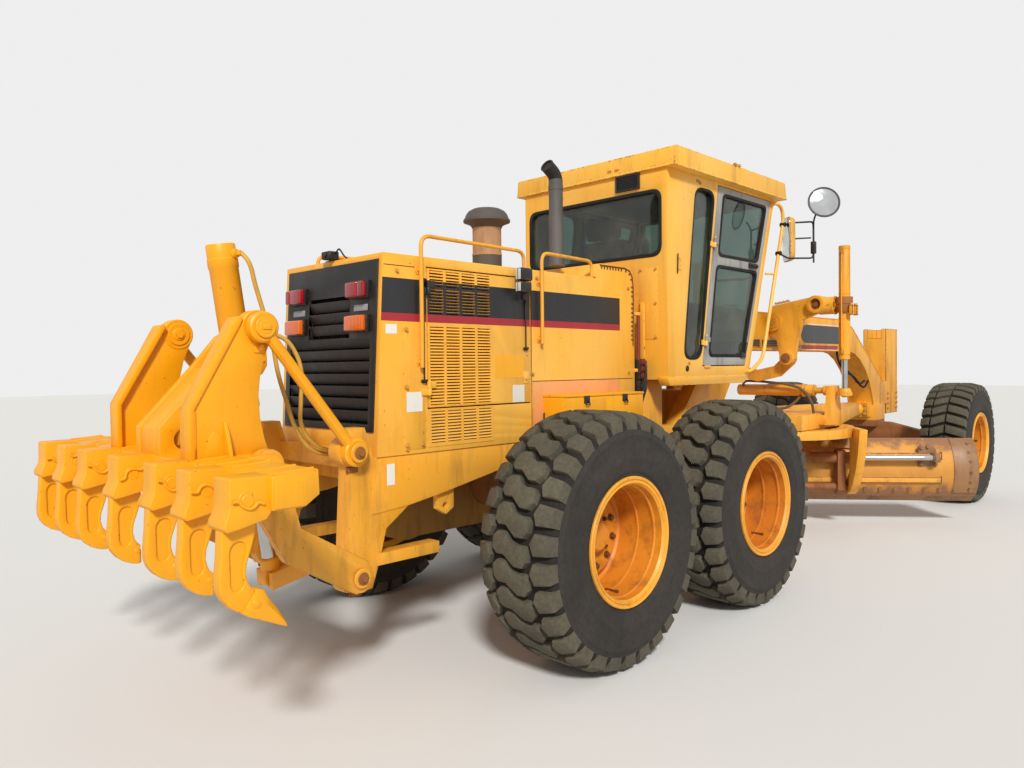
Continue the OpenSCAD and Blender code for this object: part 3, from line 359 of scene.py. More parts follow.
# Each tyre's body, side and axle place
WHEELS = {
    "rear_tyre_left_back": ("wheel_lb", -1, -828), "rear_tyre_left_fore": ("wheel_lf", -1, 828),
    "rear_tyre_right_back": ("wheel_rb", 1, -828), "rear_tyre_right_fore": ("wheel_rf", 1, 828),
    "front_tyre_left": ("front_wheel_l", -1, 6559), "front_tyre_right": ("front_wheel_r", 1, 6559),
}
tyre_moulds = {"rear": tyre_shape(REAR_TREAD, 30), "front": tyre_shape(FRONT_TREAD, 34)}
for turn, (cad, (body, side, y)) in enumerate(WHEELS.items()):
    mould = tyre_moulds[cad.split("_")[0]]
    shape = moved(mould.copy(), Matrix.Rotation(0.31 * turn, 4, "X"))
    if side < 0:
        moved(shape, MIRROR_X)
    moved(shape, Matrix.Translation(at(side * TRACK_HALF, y, TYRE_R)))
    finished(shape, cad + "_treaded", body, [groove_rubber_painted_shade, sidewall_rubber, tread_rubber], [cad])
for mould in tyre_moulds.values():
    mould.free()


# Rims: deep five-piece wheels of pressed steel, with a flanged lock ring outside, a grooved barrel
# and a bolted disc far inside. Enamelled the machine's colour, rusty orange where water stands in them.
def enamel(name, fresh, faded, soil, wear, gloss=0.42, soiling=0.3, bands=(), streaks=1.0, under="#6B3A1E"):
    """Machinery enamel sprayed on steel: bleached in clouds, soiled in runs down the plates, chipped to
    the under colour along the edges. Bands are (lowest z, highest z, least |x|, foremost y, hex)."""
    material, tree = blank_material(name)
    place = node(tree, "TexCoord").outputs["Object"]
    clouds = node(tree, "TexNoise", {"Vector": place, "Scale": 1.1, "Detail": 4.0, "Roughness": 0.55})
    bleached = node(tree, "MapRange", {"Value": clouds, "From Min": 0.36, "From Max": 0.64})
    colour = node(tree, "Mix", {"Factor": bleached, "A": linear(fresh), "B": linear(faded)},
                  data_type="RGBA")
    # Runs of soil hang down the plates, so the pattern is drawn out along z
    tall = node(tree, "Mapping", {"Vector": place, "Scale": (9.0, 9.0, 9.0 - 7.4 * streaks)})
    runs = node(tree, "TexNoise", {"Vector": tall, "Scale": 1.0, "Detail": 7.0, "Roughness": 0.66})
    soiled = node(tree, "MapRange", {"Value": runs, "From Min": 0.50, "From Max": 0.80,
                                     "To Max": soiling * 2})
    colour = node(tree, "Mix", {"Factor": soiled, "A": colour, "B": linear(soil)}, data_type="RGBA")
    for low, high, least, foremost, hex_colour in bands:
        axes = node(tree, "SeparateXYZ", {"Vector": place})
        far = node(tree, "Math", {0: axes.outputs["X"]}, operation="ABSOLUTE")
        tests = [node(tree, "Math", {0: axes.outputs["Z"], 1: low / 1000}, operation="GREATER_THAN"),
                 node(tree, "Math", {0: axes.outputs["Z"], 1: high / 1000}, operation="LESS_THAN"),
                 node(tree, "Math", {0: far, 1: least / 1000}, operation="GREATER_THAN"),
                 node(tree, "Math", {0: axes.outputs["Y"], 1: (foremost - PART_ORIGIN_Y) / 1000},
                      operation="LESS_THAN")]
        inside = tests[0]
        for test in tests[1:]:
            inside = node(tree, "Math", {0: inside, 1: test}, operation="MULTIPLY")
        colour = node(tree, "Mix", {"Factor": inside, "A": colour, "B": linear(hex_colour)},
                      data_type="RGBA")
    fleck = node(tree, "TexNoise", {"Vector": place, "Scale": 48.0, "Detail": 6.0, "Roughness": 0.7})
    edge = node(tree, "Attribute", attribute_name="edge")
    near_edge = node(tree, "Math", {0: edge.outputs["Fac"], 1: 0.13 * wear}, operation="MULTIPLY")
    chance = node(tree, "Math", {0: fleck, 1: near_edge}, operation="ADD")
    chips = node(tree, "MapRange", {"Value": chance, "From Min": 0.665 - 0.02 * wear, "From Max": 0.70})
    colour = node(tree, "Mix", {"Factor": chips, "A": colour, "B": linear(under)}, data_type="RGBA")
    rough = node(tree, "MapRange", {"Value": runs, "From Min": 0.3, "From Max": 0.8, "To Min": gloss,
                                    "To Max": gloss + 0.25})
    relief = node(tree, "Math", {0: fleck, 1: chips}, operation="SUBTRACT")
    bump = node(tree, "Bump", {"Height": relief, "Strength": 0.12, "Distance": 0.002})
    skin = node(tree, "BsdfPrincipled", {"Base Color": colour, "Roughness": rough,
                                         "Normal": bump})
    node(tree, "OutputMaterial", {"Surface": skin})
    return material


rim_enamel = enamel("rim_enamel_outside", "#EDA62C", "#E09A30", "#8A5A26", 1.6, soiling=0.25, streaks=0.2)
rim_rusty = enamel("rim_enamel_rusty_inside", "#D98A20", "#C9741C", "#7E4517", 1.4, soiling=0.5,
                   streaks=0.1)
wheel_nut_steel = enamel("wheel_nut_steel", "#5C3A1C", "#6E4722", "#3A2415", 1.0)
BARREL_R, FLANGE_X = 329, 240
# The rim's section as (radius, distance from the tyre's middle), outwards and back
RIM_SECTION = [(0, 34), (78, 30), (92, 18), (98, -30), (236, -30), (246, -38), (252, -78), (300, -82),
               (315, -66), (319, -20), (319, 60), (313, 64), (313, 74), (319, 78), (322, 176), (316, 180),
               (316, 190), (324, 196), (327, 238), (334, 247), (338, 254), (347, 254), (349, 248),
               (355, 248), (359, 257), (370, 260), (375, 254), (375, 244), (353.7, 242), (353.7, -242),
               (372, -244), (375, -254), (366, -260), (350, -254), (330, -242), (330, -104), (256, -104),
               (242, -60), (0, -60)]


def rim_shape():
    shape = bmesh.new()
    into(shape, moved(turned(RIM_SECTION, 96), ALONG_X))
    for face in shape.faces:
        middle = face.calc_center_median() * 1000
        r = math.hypot(middle.y, middle.z)
        face.material_index = 1 if r < BARREL_R and middle.x < FLANGE_X else 0
    # Ten wheel nuts, and five smaller bolts inside their circle
    for count, radius, size in ((10, 190, 15), (5, 138, 10)):
        for i in range(count):
            nut = bmesh.new()
            bmesh.ops.create_cone(nut, cap_ends=True, segments=6, radius1=size / 1000,
                                  radius2=size / 1000, depth=0.026)
            spin = Matrix.Rotation(math.tau * (i + 0.3) / count, 4, "X")
            place = spin @ Matrix.Translation((-0.019, 0, radius / 1000)) @ ALONG_X
            into(shape, moved(nut, place), material=2, width=2)
            washer = turned([(size * 0.6, -3), (size * 1.5, -3), (size * 1.5, 3), (size * 0.6, 3)], 20)
            place = spin @ Matrix.Translation((-0.028, 0, radius / 1000)) @ ALONG_X
            into(shape, moved(washer, place), material=2)
    # Valve stem
    stem = turned([(0, 0), (5, 0), (5, 70), (8, 74), (8, 92), (0, 94)], 12)
    place = Matrix.Rotation(2.0, 4, "X") @ Matrix.Translation((0.05, 0, 0.308)) @ ALONG_X
    into(shape, moved(stem, place), material=2)
    return shape


rim_mould = rim_shape()
for turn, (cad, (body, side, y)) in enumerate(WHEELS.items()):
    shape = moved(rim_mould.copy(), Matrix.Rotation(0.5 * turn + 0.2, 4, "X"))
    if side < 0:
        moved(shape, MIRROR_X)
    moved(shape, Matrix.Translation(at(side * TRACK_HALF, y, TYRE_R)))
    rim_cad = cad.replace("tyre", "rim")
    finished(shape, rim_cad + "_detailed", body, [rim_enamel, rim_rusty, wheel_nut_steel],
             [rim_cad], crease=25)
rim_mould.free()


# Welded frames and castings: thick steel plate cut, bent and welded, then sprayed. Each takes its
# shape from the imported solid, with the cut edges rounded as a torch and a grinder leave them.
def softened(cad, width, material, turn=0.5):
    """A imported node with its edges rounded, which stands for the node."""
    shape = bmesh.new()
    shape.from_mesh(frame["nodes"][cad].data)
    bmesh.ops.remove_doubles(shape, verts=shape.verts, dist=2e-5)
    bmesh.ops.dissolve_limit(shape, angle_limit=0.015, use_dissolve_boundaries=False, verts=shape.verts,
                             edges=shape.edges)
    piece = bmesh.new()
    into(piece, shape, width=width, turn=turn)
    body = frame["nodes"][cad]["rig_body"]
    return finished(piece, cad + "_finished", body, [material], [cad])


frame_yellow = enamel("frame_enamel_weathered", "#EBA020", "#E8A63A", "#8E5F26", 1.7, soiling=0.38)
fresh_amber = enamel("ripper_enamel_resprayed", "#F2A300", "#EFA408", "#B77F12", 0.35, gloss=0.36,
                     soiling=0.16)
cast_brown = enamel("cast_steel_rusty_enamel", "#9A5F28", "#8A552A", "#553219", 2.0, gloss=0.6,
                    soiling=0.45)
tandem_yellow = enamel("tandem_enamel_dusty", "#B98532", "#A98140", "#6B5330", 1.2, gloss=0.6, soiling=0.45)
engine_iron = enamel("engine_iron_oily", "#3A3733", "#2C2A28", "#1D1B19", 1.0, gloss=0.5, soiling=0.4,
                     under="#52483C")
FRAMES_AND_CASTINGS = (
    ("yellow_paint", frame_yellow, (
        ("rear_frame", 5), ("front_upright", 6), ("drawbar", 6), ("centre_shift_cylinder", 4),
        ("circle", 5), ("ripper_lower_arm", 6), ("lift_arms", 7))),
    ("cast_dirty", cast_brown, (
        ("rear_axle", 8), ("knuckle_left", 5), ("knuckle_right", 5), ("front_axle", 8),
        ("tie_rod", 4), ("circle_shoes", 4), ("blade_carrier", 5))),
    ("cast_dirty", engine_iron, (("engine_block", 14),)),
    ("tandem_paint", tandem_yellow, (("tandem_left", 12), ("tandem_right", 12))),
)
for slot, coat, nodes in FRAMES_AND_CASTINGS:
    for cad, width in nodes:
        softened(cad, width, coat)


# Hood: folded sheet steel round the engine, with hinged doors, pressed louvres and a raised cowl
# ahead of the exhaust. Enamelled, with a black band and a red line painted along each side.
def block(x, y, z):
    """A box between two x, two y and two z."""
    shape = bmesh.new()
    bmesh.ops.create_cube(shape, size=1)
    low, high = at(x[0], y[0], z[0]), at(x[1], y[1], z[1])
    size, middle = high - low, (high + low) / 2
    bmesh.ops.transform(shape, matrix=Matrix.Translation(middle) @ Matrix.Diagonal((*size, 1)),
                        verts=shape.verts)
    return shape


def plate(axis, low, high, outline, holes=()):
    """Plate cut to an outline with holes and set across X, Y or Z from low to high. Points are in
    the order of the axes left."""
    shape = bmesh.new()
    for loop in [outline, *holes]:
        if axis == "X":
            corners = [shape.verts.new(at(low, a, b)) for a, b in loop]
        elif axis == "Y":
            corners = [shape.verts.new(at(a, low, b)) for a, b in loop]
        else:
            corners = [shape.verts.new(at(a, b, low)) for a, b in loop]
        for a, b in zip(corners, corners[1:] + corners[:1]):
            shape.edges.new((a, b))
    bmesh.ops.triangle_fill(shape, edges=shape.edges, use_beauty=True)
    bmesh.ops.dissolve_limit(shape, angle_limit=0.01, verts=shape.verts, edges=shape.edges)
    raised = bmesh.ops.extrude_face_region(shape, geom=shape.faces[:])
    deep = Vector([(high - low) / 1000 if axis == name else 0 for name in "XYZ"])
    top = [v for v in raised["geom"] if isinstance(v, bmesh.types.BMVert)]
    bmesh.ops.translate(shape, vec=deep, verts=top)
    bmesh.ops.recalc_face_normals(shape, faces=shape.faces)
    return shape


def oblong(a, b):
    """The four corners between two values on each axis."""
    return [(a[0], b[0]), (a[1], b[0]), (a[1], b[1]), (a[0], b[1])]


def on_side(side, shape):
    """Puts a shape drawn for the right side on the side given."""
    return moved(shape, MIRROR_X) if side < 0 else shape


def pair(piece, shape, **finish):
    """Adds a shape drawn for the right side, and its mirror image on the left."""
    for side, _ in SIDES:
        into(piece, on_side(side, shape.copy()), **finish)
    shape.free()


def facing(direction):
    """The turn that points a shape's Z along a direction."""
    return direction.to_track_quat("Z", "Y").to_matrix().to_4x4()


def pin(start, end, radius, steps=24, chamfer=0.0):
    """A round bar between two points, with its ends chamfered."""
    start, end = at(*start), at(*end)
    long = (end - start).length * 1000
    flank = [(radius, 0), (radius, long)]
    if chamfer:
        flank = [(radius - chamfer, 0), (radius, chamfer), (radius, long - chamfer),
                 (radius - chamfer, long)]
    shape = turned([(0, 0), *flank, (0, long)], steps)
    return moved(shape, Matrix.Translation(start) @ facing(end - start))


def bolt(place, towards, size, head=None):
    """A hexagon bolt's head on its washer; size is across the flats."""
    start = Vector(place)
    axis = Vector(towards).normalized()
    washer_deep, deep = size * 0.16, head or size * 0.6
    shape = bmesh.new()
    into(shape, pin(start, start + axis * washer_deep, size * 0.85, 16))
    cap = bmesh.new()
    corner_r = size / 1000 / math.sqrt(3)
    bmesh.ops.create_cone(cap, cap_ends=True, segments=6, radius1=corner_r, radius2=corner_r,
                          depth=deep / 1000)
    middle = at(*(start + axis * (washer_deep + deep / 2)))
    into(shape, moved(cap, Matrix.Translation(middle) @ facing(axis)))
    return shape


hood_bands = [(2055, 2250, 505, 275, "#1C1B1C"), (2010, 2055, 505, 275, "#9E1F2A")]
hood_enamel = enamel("hood_enamel_sun_bleached", "#F2AA2E", "#EDB54E", "#B67C35", 0.7, gloss=0.36,
                     soiling=0.2, bands=hood_bands)
softened("hood_shell", 7, hood_enamel)
# Sheets behind the louvre openings stand for the hood's inside: brown with dust and painted shade below the
# band, near black with painted shade behind it
louvre_shadow = enamel("louvre_opening_dust_and_painted_shade", "#8A5A2C", "#6B4524", "#3F2A18", 0.5, gloss=0.8, soiling=0.6)
band_shadow = enamel("louvre_opening_painted_shade_in_the_band", "#151413", "#201E1C", "#2F2B27", 0.3, gloss=0.7)
bolt_steel = enamel("zinc_bolts_painted_over", "#D79A3A", "#B8843A", "#5A3A1E", 1.5)
LOUVRE_COLUMNS = [(y, y + 106) for y in (-1556, -1430, -1304, -1178)]


def louvre_slats(piece, columns, z, pitch=18, x=(499, 508)):
    """Pressed louvres: thin slats that slope outwards, one every pitch."""
    for y in columns:
        for i in range(int((z[1] - z[0]) / pitch)):
            low = z[0] + pitch * (i + 0.5)
            outline = [(x[0], low + 5), (x[1], low - 4), (x[1] + 3, low - 3), (x[1] + 1, low + 2),
                       (x[0], low + 9)]
            into(piece, plate("Y", *y, outline))


DOOR_HINGES_Z = (1590, 2170)
door = bmesh.new()
tall, band, top = (1532, 1986), (2060, 2206), (2220, 2312)
holes = [oblong(y, z) for y in LOUVRE_COLUMNS for z in (tall, band, top)]
into(door, plate("X", 480, 508, oblong((-1572, -708), (1518, 2322)), holes), width=1.5)
# Sheets behind the openings: painted shade of the hood's inside, brown with dust below the band and near
# black behind it
into(door, block((481, 484), (-1565, -1060), (1525, 2000)), material=1)
into(door, block((481, 484), (-1565, -1060), (2050, 2318)), material=2)
for rows in (tall, band, top):
    louvre_slats(door, LOUVRE_COLUMNS, rows)
for z in DOOR_HINGES_Z:
    into(door, pin((522, -1576, z + 40.3), (522, -1576, z + 80.3), 14, chamfer=2))
    into(door, block((508, 520), (-1572, -1522), (z + 40.3, z + 80.3)), width=2)
# Slam latches on the free edge
for z in (1640, 2235):
    into(door, plate("X", 508, 512, oblong((-776, -722), (z, z + 80))), width=2)
    into(door, pin((512, -749, z + 40), (520, -749, z + 40), 17, chamfer=3))
for side, name in SIDES:
    finished(on_side(side, door.copy()), "engine_door_" + name + "_louvred", "engine_door_" + name[0],
             [hood_enamel, louvre_shadow, band_shadow], ["engine_door_" + name])

label_white = enamel("blank_label_vinyl", "#E9E6DC", "#DDD9CC", "#B9A98A", 0.1, gloss=0.4, soiling=0.12)
hood_patch = enamel("panel_enamel_faded_pink", "#E2935A", "#E59E5C", "#B0713C", 0.9, soiling=0.3)
fresh_patch = enamel("panel_enamel_touched_up", "#F5A81C", "#F2AB26", "#C48A2A", 0.3, soiling=0.1)
black_enamel = enamel("black_enamel_satin", "#121110", "#1C1A19", "#3A322B", 0.8, soiling=0.25)
trim = bmesh.new()
# Fixed louvred panel below the door
holes = [oblong(y, (1312, 1496)) for y in LOUVRE_COLUMNS]
into(trim, plate("X", 508, 511, oblong((-1580, -1052), (1290, 1508)), holes))
# Sheet behind its openings: painted shade of the hood's inside, brown with dust
into(trim, block((500, 508.5), (-1568, -1060), (1306, 1500)), material=1)
louvre_slats(trim, LOUVRE_COLUMNS, (1312, 1496), x=(507, 510))
# Narrow bolted cover behind the door and the seams of the folded panels
into(trim, plate("X", 508, 511, oblong((-1755, -1602), (1286, 1990))), width=1.5)
for y, z in ((-1735, 1310), (-1622, 1310), (-1735, 1965), (-1735, 1640)):
    into(trim, bolt((511, y, z), (1, 0, 0), 18), material=4)
into(trim, block((507.5, 509.5), (-690, 430), (1651, 1655)), material=2)
into(trim, block((507.5, 509.5), (-699, -695), (1290, 2380)), material=2)
into(trim, block((507.5, 509), (-1880, -1600), (2318, 2322)), material=2)
for y, z in ((-1735, 1290), (-690, 1700), (-560, 1300), (380, 1700), (380, 2330), (-640, 2330),
             (-1790, 2290)):
    into(trim, bolt((508, y, z), (1, 0, 0), 16), material=4)
# Older panel under the raised hood
into(trim, plate("X", 508, 511, oblong((-688, 262), (1290, 1649))), material=3, width=1)
for side, name in SIDES:
    finished(on_side(side, trim.copy()), "hood_side_trim_" + name, "rear_body",
             [hood_enamel, louvre_shadow, black_enamel, hood_patch, bolt_steel])
# Blank labels, and one square that has been painted over
labels = bmesh.new()
for y, z in (((-1735, -1622), (1500, 1612)), ((-876, -768), (1522, 1632)), ((-1872, -1796), (1940, 1992))):
    x = 511.2 if y[0] == -1735 else 508.2
    into(labels, plate("X", x, x + 1, oblong(y, z)))
into(labels, plate("X", 500.3, 501.6, oblong((-1870, -1818), (1100, 1218))))
into(labels, plate("X", 508.1, 508.9, oblong((-1036, -772), (1680, 1826))), material=1)
for side, name in SIDES:
    finished(on_side(side, labels.copy()), "blank_labels_" + name, "rear_body",
             [label_white, fresh_patch])


# Latch rods of black bar down the hood's doors, held by a keeper at each end, the work lamp on the
# right side and the rear-view camera in a black housing on the hood's rear edge.
CORNER_STEPS = (0, 0.17, 0.34, 0.5, 0.66, 0.83, 1)


def corner(before, here, after, radius):
    """Points round a corner that is turned to a radius, as far as its two sides have room for it."""
    before, here, after = Vector(before), Vector(here), Vector(after)
    back, on = before - here, after - here
    start = here + back.normalized() * min(radius, back.length * 0.49)
    end = here + on.normalized() * min(radius, on.length * 0.49)
    return [start.lerp(here, t).lerp(here.lerp(end, t), t) for t in CORNER_STEPS]


def tube(points, radius, bend=0, sides=3):
    """A bar or hose along a run of points, its corners bent to a radius."""
    path = []
    for i, here in enumerate(points):
        if i in (0, len(points) - 1) or not bend:
            path.append(Vector(here))
        else:
            path += corner(points[i - 1], here, points[i + 1], bend)
    line = bpy.data.curves.new("bar", "CURVE")
    line.dimensions = "3D"
    line.bevel_depth = radius / 1000
    line.bevel_resolution = sides
    line.use_fill_caps = True
    run = line.splines.new("POLY")
    run.points.add(len(path) - 1)
    for point, place in zip(run.points, path):
        point.co = (*at(*place), 1)
    spare = bpy.data.objects.new("bar", line)
    mesh = bpy.data.meshes.new_from_object(spare)
    shape = bmesh.new()
    shape.from_mesh(mesh)
    bpy.data.objects.remove(spare)
    bpy.data.meshes.remove(mesh)
    bpy.data.curves.remove(line)
    bmesh.ops.remove_doubles(shape, verts=shape.verts, dist=1e-6)
    bmesh.ops.recalc_face_normals(shape, faces=shape.faces)
    return shape


lamp_glass = enamel("work_lamp_glass", "#C9CFCF", "#B9C0C0", "#8D9290", 0.0, gloss=0.12, soiling=0.05)
rods = bmesh.new()
for y, z in ((-1606, (1672, 2250)), (-754, (1866, 2236))):
    pair(rods, tube([(514, y, z[0]), (514, y, z[1])], 5))
    for end in z:
        pair(rods, block((508.2, 522), (y - 16, y + 14), (end - 12, end + 10)), width=2)
        pair(rods, tube([(520, y - 26, end), (520, y + 16, end + 4)], 6))
pair(rods, tube([(516, -590, 1270), (522, -592, 1440)], 5))
finished(rods, "hood_latch_rods", "rear_body", [black_enamel])

lamp = bmesh.new()
into(lamp, block((545, 600), (-880, -770), (2296, 2378)), width=14)
into(lamp, block((548, 596), (-878, -776), (2222, 2290)), width=12)
for z, high in ((2337, 34), (2256, 28)):
    into(lamp, plate("Y", -884, -880, oblong((551, 594), (z - high, z + high))), material=1, width=3)
    into(lamp, plate("Y", -886, -882, oblong((570, 573), (z - high, z + high))))
into(lamp, tube([(538, -800, 2200), (560, -812, 2225), (566, -815, 2300)], 7))
into(lamp, block((526, 552), (-815, -785), (2180, 2215)), width=3)
finished(lamp, "work_lamp_on_rail", "rear_body", [black_enamel, lamp_glass])

camera = bmesh.new()
into(camera, block((-45, 45), (-1925, -1855), (2392, 2440)), width=9)
into(camera, plate("Y", -1880, -1850, oblong((-70, 70), (2385, 2391))), width=2)
into(camera, pin((0, -1935, 2415), (0, -1922, 2415), 17, chamfer=3))
into(camera, tube([(40, -1880, 2425), (95, -1890, 2452), (120, -1870, 2400), (140, -1860, 2388)], 5,
                  bend=20))
finished(camera, "rear_view_camera", "rear_body", [black_enamel])


# Radiator grille: a black steel frame that leans with the hood's rear, ribs across it and a bare top
# panel; four moulded lamps stand on it in their black bases.
softened("rear_grille", 3, black_enamel)


def hood_rear(z):
    """Where the hood's leaning rear stands at a height."""
    return -1880 - 60 * (2385 - z) / (2385 - 1262)


def leaning_sheet(low_z, high_z, near, far):
    """Side view of a sheet that lies from near to far ahead of the hood's rear."""
    return [(hood_rear(low_z) + near, low_z), (hood_rear(high_z) + near, high_z),
            (hood_rear(high_z) + far, high_z), (hood_rear(low_z) + far, low_z)]


mesh_black = enamel("radiator_core_dusty", "#141312", "#1D1B19", "#34302A", 0.2, gloss=0.7)
core = bmesh.new()
into(core, plate("X", -455, 455, leaning_sheet(1400, 2350, 45, 60)))
CORE_FINS, FIN_PITCH = 30, 29.3
for i in range(CORE_FINS):
    x = -425 + i * FIN_PITCH
    into(core, plate("X", x, x + 4, leaning_sheet(1430, 2320, 36, 45)))
finished(core, "radiator_core", "rear_body", [mesh_black])


def lens_plastic(name, tone, deep):
    """Coloured acrylic: clear gloss over a fluted back, darker in its depth."""
    material, tree = blank_material(name)
    place = node(tree, "TexCoord").outputs["Object"]
    flutes = node(tree, "TexWave", {"Vector": place, "Scale": 24.0, "Distortion": 0.3}, bands_direction="X")
    colour = node(tree, "Mix", {"Factor": flutes.outputs["Fac"], "A": linear(deep), "B": linear(tone)},
                  data_type="RGBA")
    bump = node(tree, "Bump", {"Height": flutes.outputs["Fac"], "Strength": 0.25, "Distance": 0.002})
    skin = node(tree, "BsdfPrincipled", {"Base Color": colour, "Roughness": 0.16, "Normal": bump,
                                         "Coat Weight": 0.5})
    node(tree, "OutputMaterial", {"Surface": skin})
    return material


red_lens = lens_plastic("tail_lamp_red_acrylic", "#B0141F", "#5E0A12")
orange_lens = lens_plastic("turn_lamp_orange_acrylic", "#F0740F", "#B54A08")
lamps = bmesh.new()
LAMP_IN, LAMP_OUT = 237, 413
red_pair, orange_one = ((LAMP_IN + 4, 353), (357, LAMP_OUT - 4)), ((LAMP_IN + 4, LAMP_OUT - 4),)
for z, lenses, colour in ((2140, red_pair, 1), (1952, orange_one, 2)):
    back, front = hood_rear(z) - 8.4, hood_rear(z) - 65
    base = [(back, z), (back + 5, z + 100), (back - 22, z + 100), (back - 24, z)]
    pair(lamps, plate("X", LAMP_IN, LAMP_OUT, base), width=5)
    lens = [(back - 20, z + 4), (back - 20, z + 96), (front + 2, z + 92), (front, z + 8)]
    for low, high in lenses:
        pair(lamps, plate("X", low, high, lens), material=colour, width=9, segments=3)
pair(lamps, plate("X", 262, 392, leaning_sheet(2072, 2108, -8.4, -13)), material=3, width=1)
plate_metal = enamel("blank_plate_aluminium_dull", "#9B9C9C", "#828384", "#5A5750", 0.3, gloss=0.4)
finished(lamps, "rear_lamps_moulded", "rear_body", [black_enamel, red_lens, orange_lens,
                                                            plate_metal], ["rear_lamps"])


# Stacks: the intake's dust cap of spun steel gone brown with heat, and the exhaust pipe with its
# black cut elbow, both standing through the hood.
stack_brown = enamel("intake_steel_dusty_brown", "#B58C63", "#A57E59", "#5E4431", 0.8, gloss=0.6,
                     soiling=0.35)
stack_dark = enamel("intake_cap_dark", "#453E3A", "#514842", "#6B5A4B", 0.8, gloss=0.6, soiling=0.35)
stack_grey = enamel("exhaust_steel_grey_brown", "#4E4946", "#5B5551", "#302A26", 0.8, gloss=0.6,
                    soiling=0.4)
soot_black = enamel("exhaust_elbow_sooty", "#171514", "#211E1C", "#35302B", 0.4, gloss=0.65)
intake = bmesh.new()
on_hood = Matrix.Translation(at(0, -600, 2385.3))
CAP_FOOT = [(0, 0), (118, 0), (118, 8), (104, 12), (104, 40), (108, 44), (108, 56), (104, 60), (104, 158),
            (0, 158)]
CAP_BARREL = [(0, 150), (106, 150), (106, 164), (102, 168), (102, 352), (0, 352)]
CAP_DOME = [(0, 345), (104, 345), (116, 366), (152, 384), (166, 388), (166, 402), (158, 410), (146, 440),
            (128, 462), (98, 478), (50, 486), (0, 488)]
for profile, coat in ((CAP_FOOT, 1), (CAP_BARREL, 0), (CAP_DOME, 1)):
    into(intake, moved(turned(profile), on_hood), material=coat)
into(intake, bolt((105, -600, 2445), (1, 0, 0), 16), material=1)
finished(intake, "intake_dust_cap", "rear_body", [stack_brown, stack_dark], ["precleaner"])

stack = bmesh.new()
PIPE = [(0, 0), (66, 0), (66, 10), (54, 14), (52, 20), (52, 560), (55, 562), (55, 596), (52, 598),
        (52, 640), (0, 640)]
into(stack, moved(turned(PIPE, 48), Matrix.Translation(at(180, -60, 2490.3))))
ELBOW = [(180, -60, 3080), (180, -60, 3160), (180, -150, 3215)]
into(stack, tube(ELBOW, 51, bend=70, sides=10), material=1)
mouth = turned([(40, -1), (51.6, -1), (53.5, 4), (51.6, 9), (40, 9)], 40)
elbow_end = Matrix.Translation(at(180, -151, 3215.6)) @ facing(at(*ELBOW[2]) - at(*ELBOW[1]))
into(stack, moved(mouth, elbow_end), material=1)
finished(stack, "exhaust_pipe", "rear_body", [stack_grey, soot_black], ["exhaust_stack"])


# Cowl: a toothed rubber edge trim along its front, and between hood and cab the shut-off rod, the
# lines' junction block and a guard bar.
cowl = bmesh.new()
TOOTH_PITCH = 34
TRIM = [(40, 2478), (340, 2478), (400, 2462), (432, 2420), (444, 2360), (446, 2235), (440, 1900)]
pair(cowl, tube([(509, y, z) for y, z in TRIM], 6), material=1)
for (y0, z0), (y1, z1) in zip(TRIM, TRIM[1:]):
    run = math.hypot(y1 - y0, z1 - z0)
    along, across = ((y1 - y0) / run, (z1 - z0) / run), ((z1 - z0) / run, (y0 - y1) / run)
    for i in range(int(run / TOOTH_PITCH)):
        far = TOOTH_PITCH * (i + 0.5)
        y, z = y0 + along[0] * far, z0 + along[1] * far
        tooth = [(y + along[0] * a + across[0] * b, z + along[1] * a + across[1] * b)
                 for a, b in ((-6, 0), (6, 0), (5, 24), (-5, 24))]
        pair(cowl, plate("X", 508, 514, tooth), material=1, width=1)
into(cowl, pin((516, 500, 1520), (516, 500, 2160), 13, 20), material=2)
for z in (1700, 2130):
    into(cowl, block((470, 530), (455, 512), (z, z + 26)), width=4)
into(cowl, block((496, 536), (548, 566), (1560, 2235)), width=5)
into(cowl, block((430, 548), (472, 552), (1640, 1800)), material=3, width=8)
into(cowl, block((450, 540), (476, 545), (1540, 1636)), material=3, width=8)
for z in (1668, 1720, 1772):
    into(cowl, bolt((548, 512, z), (1, 0, 0), 32, head=22), material=2)
    into(cowl, tube([(540, 512, z), (575, 512, z), (585, 500, z - 90), (560, 480, z - 190)], 10, bend=30),
         material=3)
trim_rubber = enamel("cowl_trim_rubber_brown", "#6A4A1E", "#59401F", "#3A2A18", 0.2, gloss=0.7, soiling=0.4)
rod_red = enamel("shut_off_rod_red_oxide", "#7C2A1E", "#8A3E26", "#4A2416", 1.0, gloss=0.5, soiling=0.4)
finished(cowl, "cowl_trim_and_lines", "rear_body",
         [hood_enamel, trim_rubber, rod_red, black_enamel])


# Handrails of bent tube beside the hood, and the amber tool boxes bolted under it.
rails = bmesh.new()
for leg_y, foot_z, end_y in ((-1640, 1750, -740), (-620, 1900, -30)):
    run = [(538, leg_y, foot_z), (538, leg_y, 2500), (488, end_y, 2500), (488, end_y, 2385.4)]
    pair(rails, tube(run, 12, bend=70, sides=4))
    for z in (foot_z + 30, 2305):
        pair(rails, pin((508.3, leg_y, z), (538, leg_y, z), 11))
        pair(rails, pin((508.3, leg_y, z), (513, leg_y, z), 26, chamfer=2))
    pair(rails, pin((488, end_y, 2385.3), (488, end_y, 2391), 30, chamfer=2))
finished(rails, "bent_handrails", "rear_body", [frame_yellow], ["handrails"])

